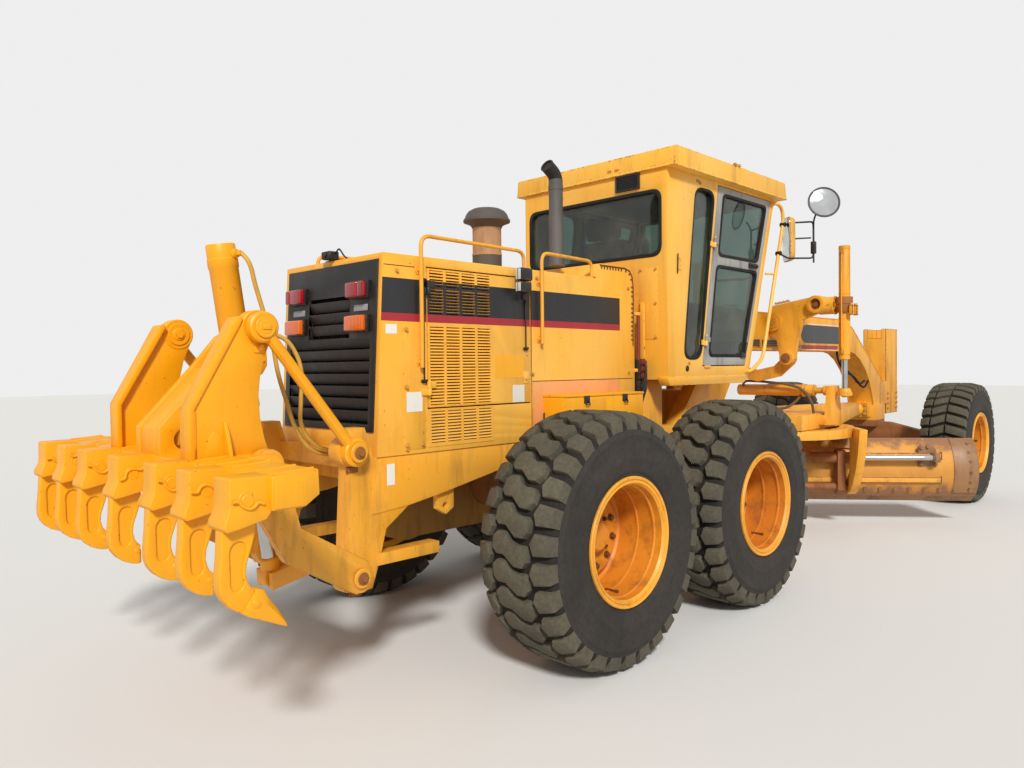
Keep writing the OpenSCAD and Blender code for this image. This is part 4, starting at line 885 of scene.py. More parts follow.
boxes = bmesh.new()
for x, y, z, width in (((508.3, 704), (-590, 290), (1300, 1546), 8),
                       ((508.3, 709), (-592, 292), (1544, 1560), 4),
                       ((704, 707), (-575, -160), (1320, 1530), 2),
                       ((704, 707), (-150, 275), (1320, 1530), 2)):
    pair(boxes, block(x, y, z), width=width)
for y in (-370, 60):
    pair(boxes, plate("X", 707, 712, oblong((y - 30, y + 30), (1500, 1550))), material=1, width=2)
    latch = [(713, y - 20, 1515), (722, y - 20, 1490), (722, y + 20, 1490), (713, y + 20, 1515)]
    pair(boxes, tube(latch, 4, bend=10), material=1)
finished(boxes, "tool_boxes_lidded", "rear_body", [fresh_amber, black_enamel],
         ["side_boxes"])


# Cab: welded sheet-steel box with leaning front posts and a flat roof that overhangs it. The windows
# are toughened panes held in black rubber seals with round corners.
cab_enamel = enamel("cab_enamel_sun_bleached", "#F1AD36", "#EFB954", "#B98236", 0.7, gloss=0.36,
                    soiling=0.16)
roof_enamel = enamel("roof_enamel_chalky", "#F2B23A", "#F1BC55", "#A8742E", 1.0, gloss=0.45, soiling=0.3)
seal_rubber = rubber("window_seal_rubber", "#171614", "#3A3733", 0.2, 90)
door_grey = enamel("door_frame_grey_enamel", "#A9A8A5", "#8F8C88", "#5C4A42", 1.3, gloss=0.5, soiling=0.45,
                   under="#4A3A32")
softened("cab_shell", 9, cab_enamel)


def rounded_corners(points, radius):
    """An outline of (a, b) points with each corner turned to a radius."""
    path = []
    for i, here in enumerate(points):
        path += [tuple(place) for place in corner(points[i - 1], here, points[(i + 1) % len(points)],
                                                  radius)]
    return path


def grown(points, by):
    """An outline made larger by a margin (or smaller, below zero), stretched from its middle."""
    middle = sum((Vector(p) for p in points), Vector((0, 0))) / len(points)
    scale = []
    for values in zip(*points):
        scale.append(1 + by / ((max(values) - min(values)) / 2))
    return [(middle.x + (a - middle.x) * scale[0], middle.y + (b - middle.y) * scale[1]) for a, b in points]


SIDE_WINDOW = [(802, 1800), (982, 3150), (1273, 3150), (1054, 1800)]
REAR_WINDOW = [(-668, 2590), (668, 2590), (668, 3080), (-668, 3080)]
# The door's edges as (y at its foot, lean)
DOOR_REAR, DOOR_FRONT = (1083, 0.1757), (1771, 0.3355)
DOOR_FOOT, DOOR_TOP = 1746, 3215


def lean(edge, z, inward=0):
    """Where a leaning door edge stands at a height."""
    return edge[0] + (z - DOOR_FOOT) * edge[1] + inward


def leaning(z0, z1, rear, front):
    """A pane's or a door's outline between two heights, inside its leaning edges by rear and front."""
    return [(lean(DOOR_REAR, z0, rear), z0), (lean(DOOR_REAR, z1, rear), z1),
            (lean(DOOR_FRONT, z1, -front), z1), (lean(DOOR_FRONT, z0, -front), z0)]


windows = bmesh.new()
side_sight, rear_sight = rounded_corners(SIDE_WINDOW, 105), rounded_corners(REAR_WINDOW, 85)
pair(windows, plate("X", 714, 728.5, grown(SIDE_WINDOW, 4), [side_sight]))
pair(windows, plate("X", 706, 735, grown(side_sight, 10.4), [grown(side_sight, -13)]), material=1, width=4)
into(windows, plate("Y", 580.5, 596, grown(REAR_WINDOW, 5), [rear_sight]))
into(windows, plate("Y", 574, 604, grown(rear_sight, 12), [grown(rear_sight, -15)]), material=1, width=4)
finished(windows, "cab_window_seals", "rear_body", [cab_enamel, seal_rubber])


def tinted_glass(name, tint, dust):
    """Toughened green-tinted pane: almost clear, with a film of dust and wiped streaks."""
    material, tree = blank_material(name)
    place = node(tree, "TexCoord").outputs["Object"]
    film = node(tree, "TexNoise", {"Vector": place, "Scale": 2.6, "Detail": 7.0, "Roughness": 0.65})
    dusty = node(tree, "MapRange", {"Value": film, "From Min": 0.45, "From Max": 0.85, "To Min": 0.03,
                                    "To Max": dust})
    pane = node(tree, "BsdfPrincipled", {"Base Color": linear(tint), "Roughness": 0.02, "IOR": 1.45,
                                         "Transmission Weight": 1.0})
    matt = node(tree, "BsdfPrincipled", {"Base Color": linear("#A69F90"), "Roughness": 0.8})
    both = node(tree, "MixShader", {0: dusty, 1: pane, 2: matt})
    node(tree, "OutputMaterial", {"Surface": both})
    return material


cab_pane = tinted_glass("cab_glass_green_tint", "#7F9C94", 0.22)
for face in frame["nodes"]["cab_glass"].data.polygons:
    face.material_index = 0
frame["nodes"]["cab_glass"].data.materials.clear()
frame["nodes"]["cab_glass"].data.materials.append(cab_pane)

# Doors: frames of pressed steel, painted grey, with two panes each in rubber seals. They hang on two
# hinges on the leaning rear edge of the opening.
HINGE_HEIGHTS = (1900, 2700)
tilt = Matrix.Rotation(-math.atan(DOOR_REAR[1]), 4, "X")
door = bmesh.new()
DOOR_SIDE = leaning(DOOR_FOOT, DOOR_TOP, 0, 0)
upper, lower = leaning(2648, 3155, 88, 70), leaning(1822, 2560, 76, 52)
upper_sight, lower_sight = rounded_corners(upper, 55), rounded_corners(lower, 60)
into(door, plate("X", 692, 730, DOOR_SIDE, [upper_sight, lower_sight]), width=5)
for sight in (upper_sight, lower_sight):
    into(door, plate("X", 704, 737, grown(sight, 10), [grown(sight, -15)]), material=1, width=4)
    into(door, plate("X", 714, 719, grown(sight, 3)), material=2)
# Seal round the door's edge and the fold of its frame
seal_edge = grown(leaning(DOOR_FOOT, DOOR_TOP, 6, 6), -4)
into(door, plate("X", 689, 694, seal_edge, [grown(DOOR_SIDE, -34)]), material=1)
for z in HINGE_HEIGHTS:
    place = Matrix.Translation(at(0, lean(DOOR_REAR, z), z)) @ tilt @ Matrix.Translation(-at(0, 0, 0))
    into(door, moved(pin((744, -4, 40.3), (744, -4, 80.3), 14, chamfer=2), place))
    into(door, moved(block((730, 742), (0, 60), (40.3, 80.3)), place))
# Latch with its pull handle at the waist, and the lower catch
y = lean(DOOR_FRONT, 2604, -70)
into(door, block((730, 748), (y - 150, y - 10), (2584, 2628)), material=3, width=5)
handle = [(745, y - 130, 2606), (768, y - 128, 2606), (768, y - 40, 2604), (745, y - 36, 2604)]
into(door, tube(handle, 8, bend=12), material=3)
into(door, pin((748, y - 28, 2606), (760, y - 28, 2606), 13, chamfer=2), material=3)
y = lean(DOOR_FRONT, 1850, -60)
into(door, block((730, 746), (y - 60, y + 20), (1806, 1850)), material=3, width=5)
into(door, tube([(742, y, 1840), (752, y + 10, 1900), (746, y + 34, 1935)], 9, bend=20), material=3)
# Pull bar inside, across the lower pane
strap = [(700, lean(DOOR_FRONT, 2500, -90), 2520), (668, lean(DOOR_FRONT, 2500, -100), 2500),
         (668, lean(DOOR_REAR, 2420, 120), 2440), (700, lean(DOOR_REAR, 2400, 100), 2420)]
into(door, tube(strap, 10, bend=30), material=3)
for side, name in SIDES:
    finished(on_side(side, door.copy()), "cab_door_" + name + "_glazed", "cab_door_" + name[0],
             [door_grey, seal_rubber, cab_pane, black_enamel], ["cab_door_" + name])

# Roof: a folded steel panel with a drip rail round its edge and a raised middle, set on the posts
# and painted the machine's colour. Below it are the rear vent and other small fittings.
roof = bmesh.new()
ROOF_SIDE = [(560, 3241), (572, 3380), (590, 3390), (2372, 3390), (2392, 3378), (2418, 3246), (2410, 3241)]
into(roof, plate("X", -810, 810, ROOF_SIDE), width=7)
into(roof, plate("X", -812, 812, [(556, 3240.6), (559, 3262), (2418, 3262), (2420, 3240.6)]), width=4)
into(roof, plate("X", -700, 700, [(700, 3388), (720, 3399), (2240, 3399), (2260, 3388)]), width=4)
# Bolted pads at the roof's edges, and two lugs over the rear window
pair(roof, block((766, 814), (1450, 1550), (3386, 3396)), width=3)
for y in (1466, 1534):
    pair(roof, bolt((810, y, 3392), (0, 0, 1), 22), material=1)
for x in (216, 284):
    into(roof, block((x - 16, x + 16), (548, 570), (3290, 3318)), width=4)
finished(roof, "cab_roof_folded", "rear_body", [roof_enamel, bolt_steel], ["cab_roof"])

fittings = bmesh.new()
# Air vent over the rear window, with its slats
into(fittings, plate("Y", 560, 580.5, oblong((262, 486), (3112, 3236)), [oblong((274, 474), (3124, 3224))]),
     material=1, width=3)
into(fittings, block((272, 476), (574, 579), (3122, 3226)), material=1)
for i in range(7):
    into(fittings, block((274, 474), (564, 577), (3128 + i * 14, 3134 + i * 14)), material=1)
for x, z in ((-330, 3160), (-300, 3160), (-315, 3172)):
    into(fittings, pin((x, 574, z), (x, 580.3, z), 7, 12), material=1)
# Bolted cover on the rear wall under the window, and its seams
into(fittings, plate("Y", 576.5, 580.3, oblong((470, 640), (1950, 2500))), width=1.5)
for x, z in ((486, 1966), (624, 1966), (486, 2484), (624, 2484), (486, 2225), (624, 2225)):
    into(fittings, bolt((x, 576.5, z), (0, -1, 0), 15), material=2)
# Skirt rail round the cab's foot and the plug in the post
skirt = [(600, 1592), (574, 1640), (574, 1662), (1835, 1662), (1838, 1640), (1740, 1592)]
pair(fittings, plate("X", 640, 733, skirt), width=5)
pair(fittings, pin((730.2, 846, 1722), (735, 846, 1722), 24, 32, chamfer=2), material=1)
pair(fittings, pin((735, 846, 1722), (737, 846, 1722), 17, 32), material=1)
# Small latch and hold-back on the rear post
pair(fittings, plate("X", 730.2, 736, oblong((716, 760), (2480, 2580)), [oblong((728, 748), (2494, 2566))]),
     width=1)
pair(fittings, tube([(738, 706, 2450), (742, 706, 2600)], 5), material=1)
pair(fittings, block((730.2, 744), (1100, 1180), (1726, 1745)), width=3)
for y, z in ((1010, 3200), (1045, 3190), (870, 1764)):
    pair(fittings, bolt((730.3, y, z), (1, 0, 0), 16), material=2)
finished(fittings, "cab_wall_fittings", "rear_body", [cab_enamel, black_enamel, bolt_steel])


# Inside the cab: a high-backed seat of foam under black vinyl, a pedestal, the steering column
# with its wheel, two banks of blade levers and the dark headlining.
trim_plastic = enamel("cab_trim_moulded_plastic", "#2E2D2C", "#383634", "#6A6358", 0.1, gloss=0.55,
                      soiling=0.2, under="#3A3835")
headlining = enamel("headlining_perforated_vinyl", "#4B4843", "#55514B", "#39352F", 0.0, gloss=0.8)


def vinyl():
    """Black leather-grained vinyl: soft sheen over a fine pebble, a little dusty."""
    material, tree = blank_material("seat_vinyl_black")
    place = node(tree, "TexCoord").outputs["Object"]
    pebble = node(tree, "TexVoronoi", {"Vector": place, "Scale": 420.0})
    dust = node(tree, "TexNoise", {"Vector": place, "Scale": 7.0, "Detail": 6.0})
    dusty = node(tree, "MapRange", {"Value": dust, "From Min": 0.5, "From Max": 0.8, "To Max": 0.35})
    colour = node(tree, "Mix", {"Factor": dusty, "A": linear("#1F1E1D"), "B": linear("#5B564D")},
                  data_type="RGBA")
    bump = node(tree, "Bump", {"Height": pebble, "Strength": 0.2, "Distance": 0.001})
    skin = node(tree, "BsdfPrincipled", {"Base Color": colour, "Normal": bump, "Roughness": 0.5})
    node(tree, "OutputMaterial", {"Surface": skin})
    return material


seat_vinyl = vinyl()


def round_outline(a, b, radius, steps):
    """A circle's points about (a, b)."""
    turns = [math.tau * i / steps for i in range(steps)]
    return [(a + radius * math.cos(turn), b + radius * math.sin(turn)) for turn in turns]


def cushion(name, x, y, z, lean_deg, crown, pinch=0.12):
    """A stuffed pad: a subdivided block whose faces swell and whose corners pull in, leaned back about X."""
    shape = bmesh.new()
    bmesh.ops.create_cube(shape, size=1)
    bmesh.ops.subdivide_edges(shape, edges=shape.edges, cuts=7, use_grid_fill=True)
    size = Vector((x[1] - x[0], y[1] - y[0], z[1] - z[0])) / 1000
    thin = min(range(3), key=lambda i: size[i])
    for v in shape.verts:
        p = v.co * 2
        others = [p[i] for i in range(3) if i != thin]
        dome = (1 - others[0] ** 4) * (1 - others[1] ** 4)
        v.co[thin] *= 1 + crown * dome - pinch * (1 - dome)
        for i in range(3):
            if i != thin:
                rest = [abs(p[j]) for j in range(3) if j != thin and j != i][0]
                v.co[i] *= 1 - 0.05 * rest ** 4 - 0.03 * abs(p[thin]) ** 4
        on_seam = abs(abs(others[0]) - 0.57) < 0.08 and abs(others[1]) < 0.8
        if on_seam:
            v.co[thin] *= 0.93
    middle = at((x[0] + x[1]) / 2, (y[0] + y[1]) / 2, (z[0] + z[1]) / 2)
    turn = Matrix.Rotation(math.radians(lean_deg), 4, "X")
    moved(shape, Matrix.Translation(middle) @ turn @ Matrix.Diagonal((*size, 1)))
    piece = bmesh.new()
    into(piece, shape)
    made = finished(piece, name, "rear_body", [seat_vinyl], crease=80)
    soften = made.modifiers.new("stuffing", "SUBSURF")
    soften.levels = soften.render_levels = 1
    return made


cushion("seat_cushion", (-255, 255), (835, 1320), (2105, 2225), 4, 0.28)
cushion("seat_back", (-240, 240), (735, 865), (2215, 2790), 8, 0.30)
cushion("seat_headrest", (-150, 150), (690, 800), (2790, 2960), 8, 0.34)
for side, name in SIDES:
    cushion("seat_armrest_" + name, (side * 300 - 38, side * 300 + 38), (840, 1180), (2350, 2410), 0, 0.3)

inside = bmesh.new()
for x, y, z, width in (
        ((-235, 235), (850, 1290), (2050, 2108), 12), ((-150, 150), (900, 1200), (1700.4, 2052), 14),
        ((-640, 640), (1700, 1790), (1700.4, 1960), 20), ((420, 640), (700, 1250), (1700.4, 2250), 25),
        ((-640, -480), (700, 1050), (1700.4, 2100), 25), ((-120, 120), (1960, 2060), (3120, 3200), 12),
        ((-668, 668), (642, 1740), (1700.2, 1712), 0)):
    into(inside, block(x, y, z), width=width)
for i in range(6):
    into(inside, block((-172, 172), (880, 1222), (1755 + i * 48, 1775 + i * 48)), width=8)
for x in (-110, 110):
    into(inside, tube([(x, 800, 2740), (x, 745, 2880)], 8))
pair(inside, tube([(250, 880, 2300), (300, 880, 2340)], 12))
column = [(1560, 1700.4), (1500, 2290), (1530, 2335), (1590, 2335), (1720, 1700.4)]
into(inside, plate("X", -95, 95, column), width=14)
lean_back = Matrix.Translation(at(0, 1500, 2280)) @ Matrix.Rotation(math.radians(25), 4, "X")
into(inside, moved(turned([(0, 0), (34, 0), (30, 120), (46, 128), (46, 146), (0, 152)], 32), lean_back))
wheel_ring = turned(round_outline(200, 146, 15, 10), 56)
into(inside, moved(wheel_ring, lean_back))
for spoke in (0, 120, 240):
    arm = bmesh.new()
    bmesh.ops.create_cube(arm, size=1)
    place = Matrix.Rotation(math.radians(spoke), 4, "Z") @ Matrix.Translation((0.115, 0, 0.142))
    moved(arm, lean_back @ place @ Matrix.Diagonal((0.17, 0.03, 0.012, 1)))
    into(inside, arm, width=3)
pair(inside, block((130, 250), (1440, 1560), (2150, 2230)), width=10)
for x in (150, 178, 206, 234):
    pair(inside, tube([(x, 1500, 2225), (x, 1480, 2330), (x, 1470, 2400)], 6))
    knob = turned([(0, -16), (9, -14), (13, 0), (11, 14), (0, 20)], 16)
    pair(inside, moved(knob, Matrix.Translation(at(x, 1470, 2410))))
into(inside, block((-660, 660), (650, 2240), (3205, 3239)), width=8, material=1)
finished(inside, "cab_inside", "rear_body", [trim_plastic, headlining], ["cab_interior"])


# Grab rails before the doors, with the mirrors on black arms: a tall one in its yellowed housing
# and a round convex one on top.
def polished(name, tone, rough):
    """Ground and plated steel: mirror bright with faint oily smears."""
    material, tree = blank_material(name)
    place = node(tree, "TexCoord").outputs["Object"]
    smear = node(tree, "TexNoise", {"Vector": place, "Scale": 9.0, "Detail": 5.0})
    dull = node(tree, "MapRange", {"Value": smear, "From Min": 0.35, "From Max": 0.75, "To Min": rough,
                                   "To Max": rough + 0.2})
    colour = node(tree, "Mix", {"Factor": smear, "A": linear(tone), "B": linear("#9B9A96")},
                  data_type="RGBA")
    skin = node(tree, "BsdfPrincipled", {"Base Color": colour, "Roughness": dull, "Metallic": 1.0})
    node(tree, "OutputMaterial", {"Surface": skin})
    return material


mirror_glass = polished("mirror_glass_silvered", "#E4E7E8", 0.03)
RAIL_RUN = [(731, 2292, 3200), (780, 2292, 3200), (780, 2390, 3166), (780, 2412, 3050), (780, 2001, 1802),
            (780, 1781, 1690), (731, 1781, 1690)]
rails = bmesh.new()
pair(rails, tube(RAIL_RUN, 16, bend=75, sides=4))
for y, z in ((2292, 3200), (1781, 1690)):
    pair(rails, pin((730.3, y, z), (736, y, z), 28, chamfer=2))
pair(rails, tube([(731, 2160, 2560), (780, 2250, 2560)], 10))
finished(rails, "cab_grab_rails", "rear_body", [cab_enamel], ["cab_rails"])

mirrors = bmesh.new()
# Clamps and the square arm that holds the tall mirror
for y, z in ((2402, 3020), (2313, 2750)):
    pair(mirrors, pin((756, y, z), (806, y, z), 21, chamfer=3))
arm = [(790, 2402, 3020), (860, 2410, 3028), (1015, 2500, 3028), (1020, 2502, 2990), (1020, 2502, 2730),
       (1010, 2500, 2702), (860, 2330, 2700), (790, 2313, 2748)]
pair(mirrors, tube(arm, 8, bend=26))
pair(mirrors, block((1000, 1042), (2484, 2520), (2740, 2850)), width=5)
pair(mirrors, tube([(1022, 2502, 2660), (1022, 2502, 3040), (1060, 2486, 3110)], 8, bend=30))
housing = bmesh.new()
outline = rounded_corners([(-100, -205), (100, -205), (100, 205), (-100, 205)], 70)
face = [housing.verts.new((x / 1000, 0, z / 1000)) for x, z in outline]
bmesh.ops.contextual_create(housing, geom=face)
raised = bmesh.ops.extrude_face_region(housing, geom=housing.faces[:])
tops = [v for v in raised["geom"] if isinstance(v, bmesh.types.BMVert)]
bmesh.ops.translate(housing, vec=(0, 0.052, 0), verts=tops)
bmesh.ops.scale(housing, vec=(0.86, 1, 0.93), verts=tops)
bmesh.ops.recalc_face_normals(housing, faces=housing.faces)
turn = Matrix.Rotation(math.radians(-45), 4, "Z") @ Matrix.Translation((0, -0.026, 0))
mirror_place = Matrix.Translation(at(819, 2449, 2885)) @ turn
pane = bmesh.new()
face = [pane.verts.new((x * 0.92 / 1000, -0.003, z * 0.95 / 1000)) for x, z in outline]
bmesh.ops.contextual_create(pane, geom=face)
raised = bmesh.ops.extrude_face_region(pane, geom=pane.faces[:])
tops = [v for v in raised["geom"] if isinstance(v, bmesh.types.BMVert)]
bmesh.ops.translate(pane, vec=(0, 0.006, 0), verts=tops)
bmesh.ops.recalc_face_normals(pane, faces=pane.faces)
pair(mirrors, moved(housing, mirror_place), material=1, width=8)
pair(mirrors, moved(pane, mirror_place), material=2, width=1)
pair(mirrors, tube([(855, 2425, 2885), (900, 2445, 2885), (1000, 2500, 2885)], 7, bend=20))
# Round convex mirror
bowl = turned([(0, 22), (60, 20), (110, 12), (136, 0), (141, -7), (138, -12), (130, -12), (128, -8),
               (0, -8)], 48)
eye = turned([(0, -20), (50, -18), (95, -13), (127, -7), (127, -5), (0, -5)], 48)
convex_place = Matrix.Translation(at(1128, 2470, 3180)) @ facing(Vector((-0.62, 0.76, -0.16)))
pair(mirrors, moved(bowl, convex_place))
pair(mirrors, moved(eye, convex_place), material=2)
mirror_yellow = enamel("mirror_housing_yellowed", "#D9A548", "#C7954A", "#4B3B28", 0.8, soiling=0.4)
finished(mirrors, "mirrors_on_arms", "rear_body",
         [black_enamel, mirror_yellow, mirror_glass], ["mirrors"])


# Ripper, resprayed a fresh amber over everything, its pins too. Beam: a hollow box welded of plate,
# with seven cast shank holders on its back and towers of flanged plate.
SHANK_ACROSS = [-1150, -800, -450, 0, 450, 800, 1150]
SHANK_BACK = -3000
KEEPER_TURNS = [0.5, 2.9, 0.2, -2.2, 0.1, -2.6, 0.35]
HOLDER_HALF = 66
HOLDER_SIDE = [(-124, 1334), (-124, 1240), (-128, 1212), (-146, 1176), (-150, 1154), (-138, 1138),
               (-90, 1146), (22, 1170), (58, 1208), (60, 1330), (40, 1340), (-116, 1340)]


def behind(points):
    """Shank outlines are drawn from the plane of the shanks' fronts."""
    return [(y + SHANK_BACK, z) for y, z in points]


# Keeper wire: amber darkened as painted shade in the gaps round it, with soil runs
keeper_wire = enamel("keeper_wire_painted_shade_and_soil", "#7A551A", "#8C6620", "#4A3414", 0.8, gloss=0.5, soiling=0.5)


def shank_holder(x, keeper_turn):
    """A cast socket: upright walls over a lip that flares outwards, with the shank's pin and keeper wire."""
    shape = plate("X", x - HOLDER_HALF, x + HOLDER_HALF, behind(HOLDER_SIDE))
    rounded = bmesh.new()
    into(rounded, shape, width=11, segments=3)
    for v in rounded.verts:
        low = max(0.0, min(1.0, (1.212 - v.co.z) / 0.04))
        v.co.x += (v.co.x - x / 1000) * 0.12 * low
    piece = bmesh.new()
    into(piece, rounded)
    y, z = SHANK_BACK - 53, 1250
    into(piece, pin((x - 73, y, z), (x + 73, y, z), 26, 28, chamfer=3))
    into(piece, pin((x + 60, y, z), (x + 68, y, z), 38, 28, chamfer=2))
    # The keeper wire takes the coat darkened as painted shade
    wire = [(-58, 24), (-34, 16), (-28, -8), (-10, -30), (14, -34), (34, -20), (54, -38)]
    turn = Matrix.Rotation(keeper_turn, 2)
    run = [(x + 74, y + place.x, z + place.y) for place in (turn @ Vector(point) for point in wire)]
    into(piece, tube(run, 7, bend=14), material=1)
    # The other end of the same wire, on the left face
    other_end = [(x - 73, y - 44, z + 8), (x - 75, y, z - 34), (x - 73, y + 40, z - 12)]
    into(piece, tube(other_end, 6, bend=16), material=1)
    return piece


beam = bmesh.new()
BEAM_SIDE = [(-2966, 1200), (-2966, 1334), (-2758, 1348), (-2753, 1242), (-2819, 1199)]
into(beam, plate("X", -1244, 1244, BEAM_SIDE), width=9)
# Cap welded over the beam's open end, and a slim bead round it
cap = grown([(y, z) for y, z in BEAM_SIDE], -7)
pair(beam, plate("X", 1243, 1250, cap), width=4)
for x, keeper_turn in zip(SHANK_ACROSS, KEEPER_TURNS):
    into(beam, shank_holder(x, keeper_turn))
    # Weld bead where the holder meets the beam's top
    for edge in (-69, 69):
        into(beam, tube([(x + edge, -2950, 1337), (x + edge, -2860, 1341), (x + edge, -2770, 1347)], 7))
for y, x0, x1 in ((-2860, -905, -1040), (-2860, -560, -700), (-2860, 200, 330)):
    into(beam, tube([(x0, y, 1342), (x1, y, 1342)], 4))
# Stiffening ribs between the holders, seen from below
RIB_SIDE = [(-2966, 1200), (-2975, 1240), (-2975, 1300), (-2960, 1330), (-2940, 1210)]
for x in (225, 625, 975):
    pair(beam, plate("X", x - 10, x + 10, RIB_SIDE), width=3)

TOWER_SIDE = [(-2945, 1325), (-2942, 1566), (-2715, 1960), (-2676, 1982), (-2600, 1993), (-2560, 1985),
              (-2540, 1950), (-2545, 1900), (-2585, 1800), (-2606, 1712), (-2616, 1620), (-2610, 1520),
              (-2590, 1420), (-2560, 1325)]
EYE = (-2615, 1951)
LOW_EYE = (-2605, 1287)
TRUNNION = (-2475, 1800)
MIDDLE_SIDE = [(-2957, 1325), (-2957, 1468), (-2655, 1792), (-2540, 1930), (-2515, 1942), (-2450, 1936),
               (-2412, 1912), (-2392, 1872), (-2385, 1820), (-2385, 1770), (-2410, 1728), (-2470, 1690),
               (-2600, 1590), (-2700, 1505), (-2740, 1460), (-2762, 1400), (-2770, 1325)]
COVER_SIDE = [(-2950, 1330), (-2950, 1462), (-2672, 1762), (-2652, 1752), (-2930, 1450), (-2930, 1330)]
into(beam, plate("X", -112, 112, COVER_SIDE), width=3)
pair(beam, plate("X", 430, 490, TOWER_SIDE), width=6)
flange = [(-2962, 1332), (-2962, 1574), (-2728, 1998), (-2706, 2004), (-2692, 1990), (-2936, 1566),
          (-2936, 1332)]
pair(beam, plate("X", 395, 500, flange), width=4)
for height in (1390, 1560):
    pair(beam, tube([(492, -2934, 1342), (492, -2934, height)], 6))
# Boss and pin of the upper link with its locking bolt
for x0, x1, radius, steps, chamfer in ((425, 497, 85, 56, 5), (412, 573, 35, 40, 4), (404, 412, 22, 6, 0),
                                       (418, 430, 62, 48, 3), (562, 571, 52, 48, 3)):
    pair(beam, pin((x0, *EYE), (x1, *EYE), radius, steps, chamfer=chamfer))
pair(beam, block((571, 579), (EYE[0] - 20, EYE[0] + 24), (EYE[1] - 12, EYE[1] + 14)), width=3)
pair(beam, bolt((497, EYE[0] + 6, EYE[1] - 96), (1, 0, 0), 24))
pair(beam, block((488, 497), (EYE[0] - 24, EYE[0] + 36), (EYE[1] - 122, EYE[1] - 78)), width=5)
# Gusset and weld pads at the tower's foot
gusset = [(488, 1342), (488, 1500), (500, 1506), (530, 1440), (560, 1342)]
pair(beam, plate("Y", -2800, -2782, gusset), width=4)
pad = [(-2890, 1342), (-2878, 1420), (-2848, 1470), (-2800, 1440), (-2776, 1342)]
pair(beam, plate("X", 486, 496, pad), width=4)
# Lugs and pin of the lower arm
lug_side = [(-2770, 1212), (-2770, 1343), (-2610, 1344), (-2566, 1330), (-2548, 1290), (-2562, 1252),
            (-2600, 1230)]
for x0, x1 in ((465, 497), (568, 600)):
    pair(beam, plate("X", x0, x1, lug_side), width=4)
pair(beam, pin((465, *LOW_EYE), (606, *LOW_EYE), 35, 36, chamfer=4))
pair(beam, pin((600, *LOW_EYE), (609, *LOW_EYE), 50, 36, chamfer=3))
# Middle tower's plate with the bearing of the trunnion, and a round opening at its foot
openings = [round_outline(*TRUNNION, 40.4, 40), round_outline(-2835, 1408, 52, 32)]
pair(beam, plate("X", 101, 150, MIDDLE_SIDE, openings), width=5)
pair(beam, tube([(108, -2951, 1340), (108, -2951, 1462), (108, -2670, 1766)], 5))
for spot in round_outline(*TRUNNION, 62, 6):
    pair(beam, bolt((150, *spot), (1, 0, 0), 16))
finished(beam, "ripper_beam_cast_holders", "rip_tool", [fresh_amber, keeper_wire],
         ["ripper_beam"])


# Shanks: forged curved teeth with a pressed panel in each flank. Six have lost their tips and show
# the bare nose with its pin hole; the right one still has its long tip.
SHANK_HALF = 29
SHANK_SIDE = [(-120, 1200), (-138, 1150), (-143, 1050), (-152, 960), (-150, 912), (-138, 880), (-115, 848),
              (-85, 824), (-45, 808), (-12, 803), (-10, 896), (-24, 908), (-34, 924), (-44, 960),
              (-40, 1000), (-26, 1040), (-12, 1082), (-3, 1120), (-3, 1200)]
PANEL = [(-106, 930), (-108, 1050), (-104, 1070), (-92, 1086), (-72, 1092), (-52, 1086), (-42, 1068),
         (-42, 1040), (-56, 1000), (-58, 955), (-52, 925), (-64, 906), (-86, 900), (-100, 910)]


def shank(x, tipped):
    piece = bmesh.new()
    into(piece, plate("X", x - SHANK_HALF, x + SHANK_HALF, behind(SHANK_SIDE), [behind(PANEL)]), width=6,
         segments=3)
    into(piece, plate("X", x - SHANK_HALF + 9, x + SHANK_HALF - 9, behind(grown(PANEL, 6))))
    if not tipped:
        # The tip's pin is left in its hole, worn down to a stub
        stub = turned([(0, -32), (9, -32), (13, -28), (13, 28), (9, 32), (0, 32)], 20)
        into(piece, moved(stub, Matrix.Translation(at(x, SHANK_BACK - 29, 870)) @ ALONG_X))
        into(piece, block((x - 22, x + 22), (SHANK_BACK - 20, SHANK_BACK - 4), (806, 872)), width=5)
    return piece


shanks = bmesh.new()
for x in SHANK_ACROSS:
    into(shanks, shank(x, x == SHANK_ACROSS[-1]))
# Tip: a forged wedge with a socket lip, ridged on top, held by one pin
TIP_SLOPE = (0.64, 0.77)
TIP_CORNERS = ((-1, -1), (1, -1), (1, 0.45), (0.55, 1), (-0.55, 1), (-1, 0.45))
TIP_RINGS = [(-34, 856, 37, 52), (-4, 840, 38, 58), (26, 812, 36, 44), (70, 776, 32, 30),
             (112, 738, 28, 14), (131, 720, 24, 5)]
tip = bmesh.new()
loops = []
for y, z, half, deep in TIP_RINGS:
    ring = []
    for across, up in TIP_CORNERS:
        rise = Vector(TIP_SLOPE) * up * deep
        ring.append(tip.verts.new(at(SHANK_ACROSS[-1] + across * half, SHANK_BACK + y + rise.x,
                                     z + rise.y)))
    loops.append(ring)
for first, second in zip(loops, loops[1:]):
    for i in range(6):
        tip.faces.new((first[i], first[(i + 1) % 6], second[(i + 1) % 6], second[i]))
for ring in (loops[0], loops[-1]):
    tip.faces.new(ring)
bmesh.ops.recalc_face_normals(tip, faces=tip.faces)
into(shanks, tip, width=5)
into(shanks, pin((SHANK_ACROSS[-1] - 42, -3008, 842), (SHANK_ACROSS[-1] + 42, -3008, 842), 17, chamfer=2))
into(shanks, pin((SHANK_ACROSS[-1] - 44, -3008, 842), (SHANK_ACROSS[-1] + 44, -3008, 842), 9, 20,
                 chamfer=1))
finished(shanks, "ripper_shanks_forged", "rip_tool", [fresh_amber], ["ripper_shanks"])

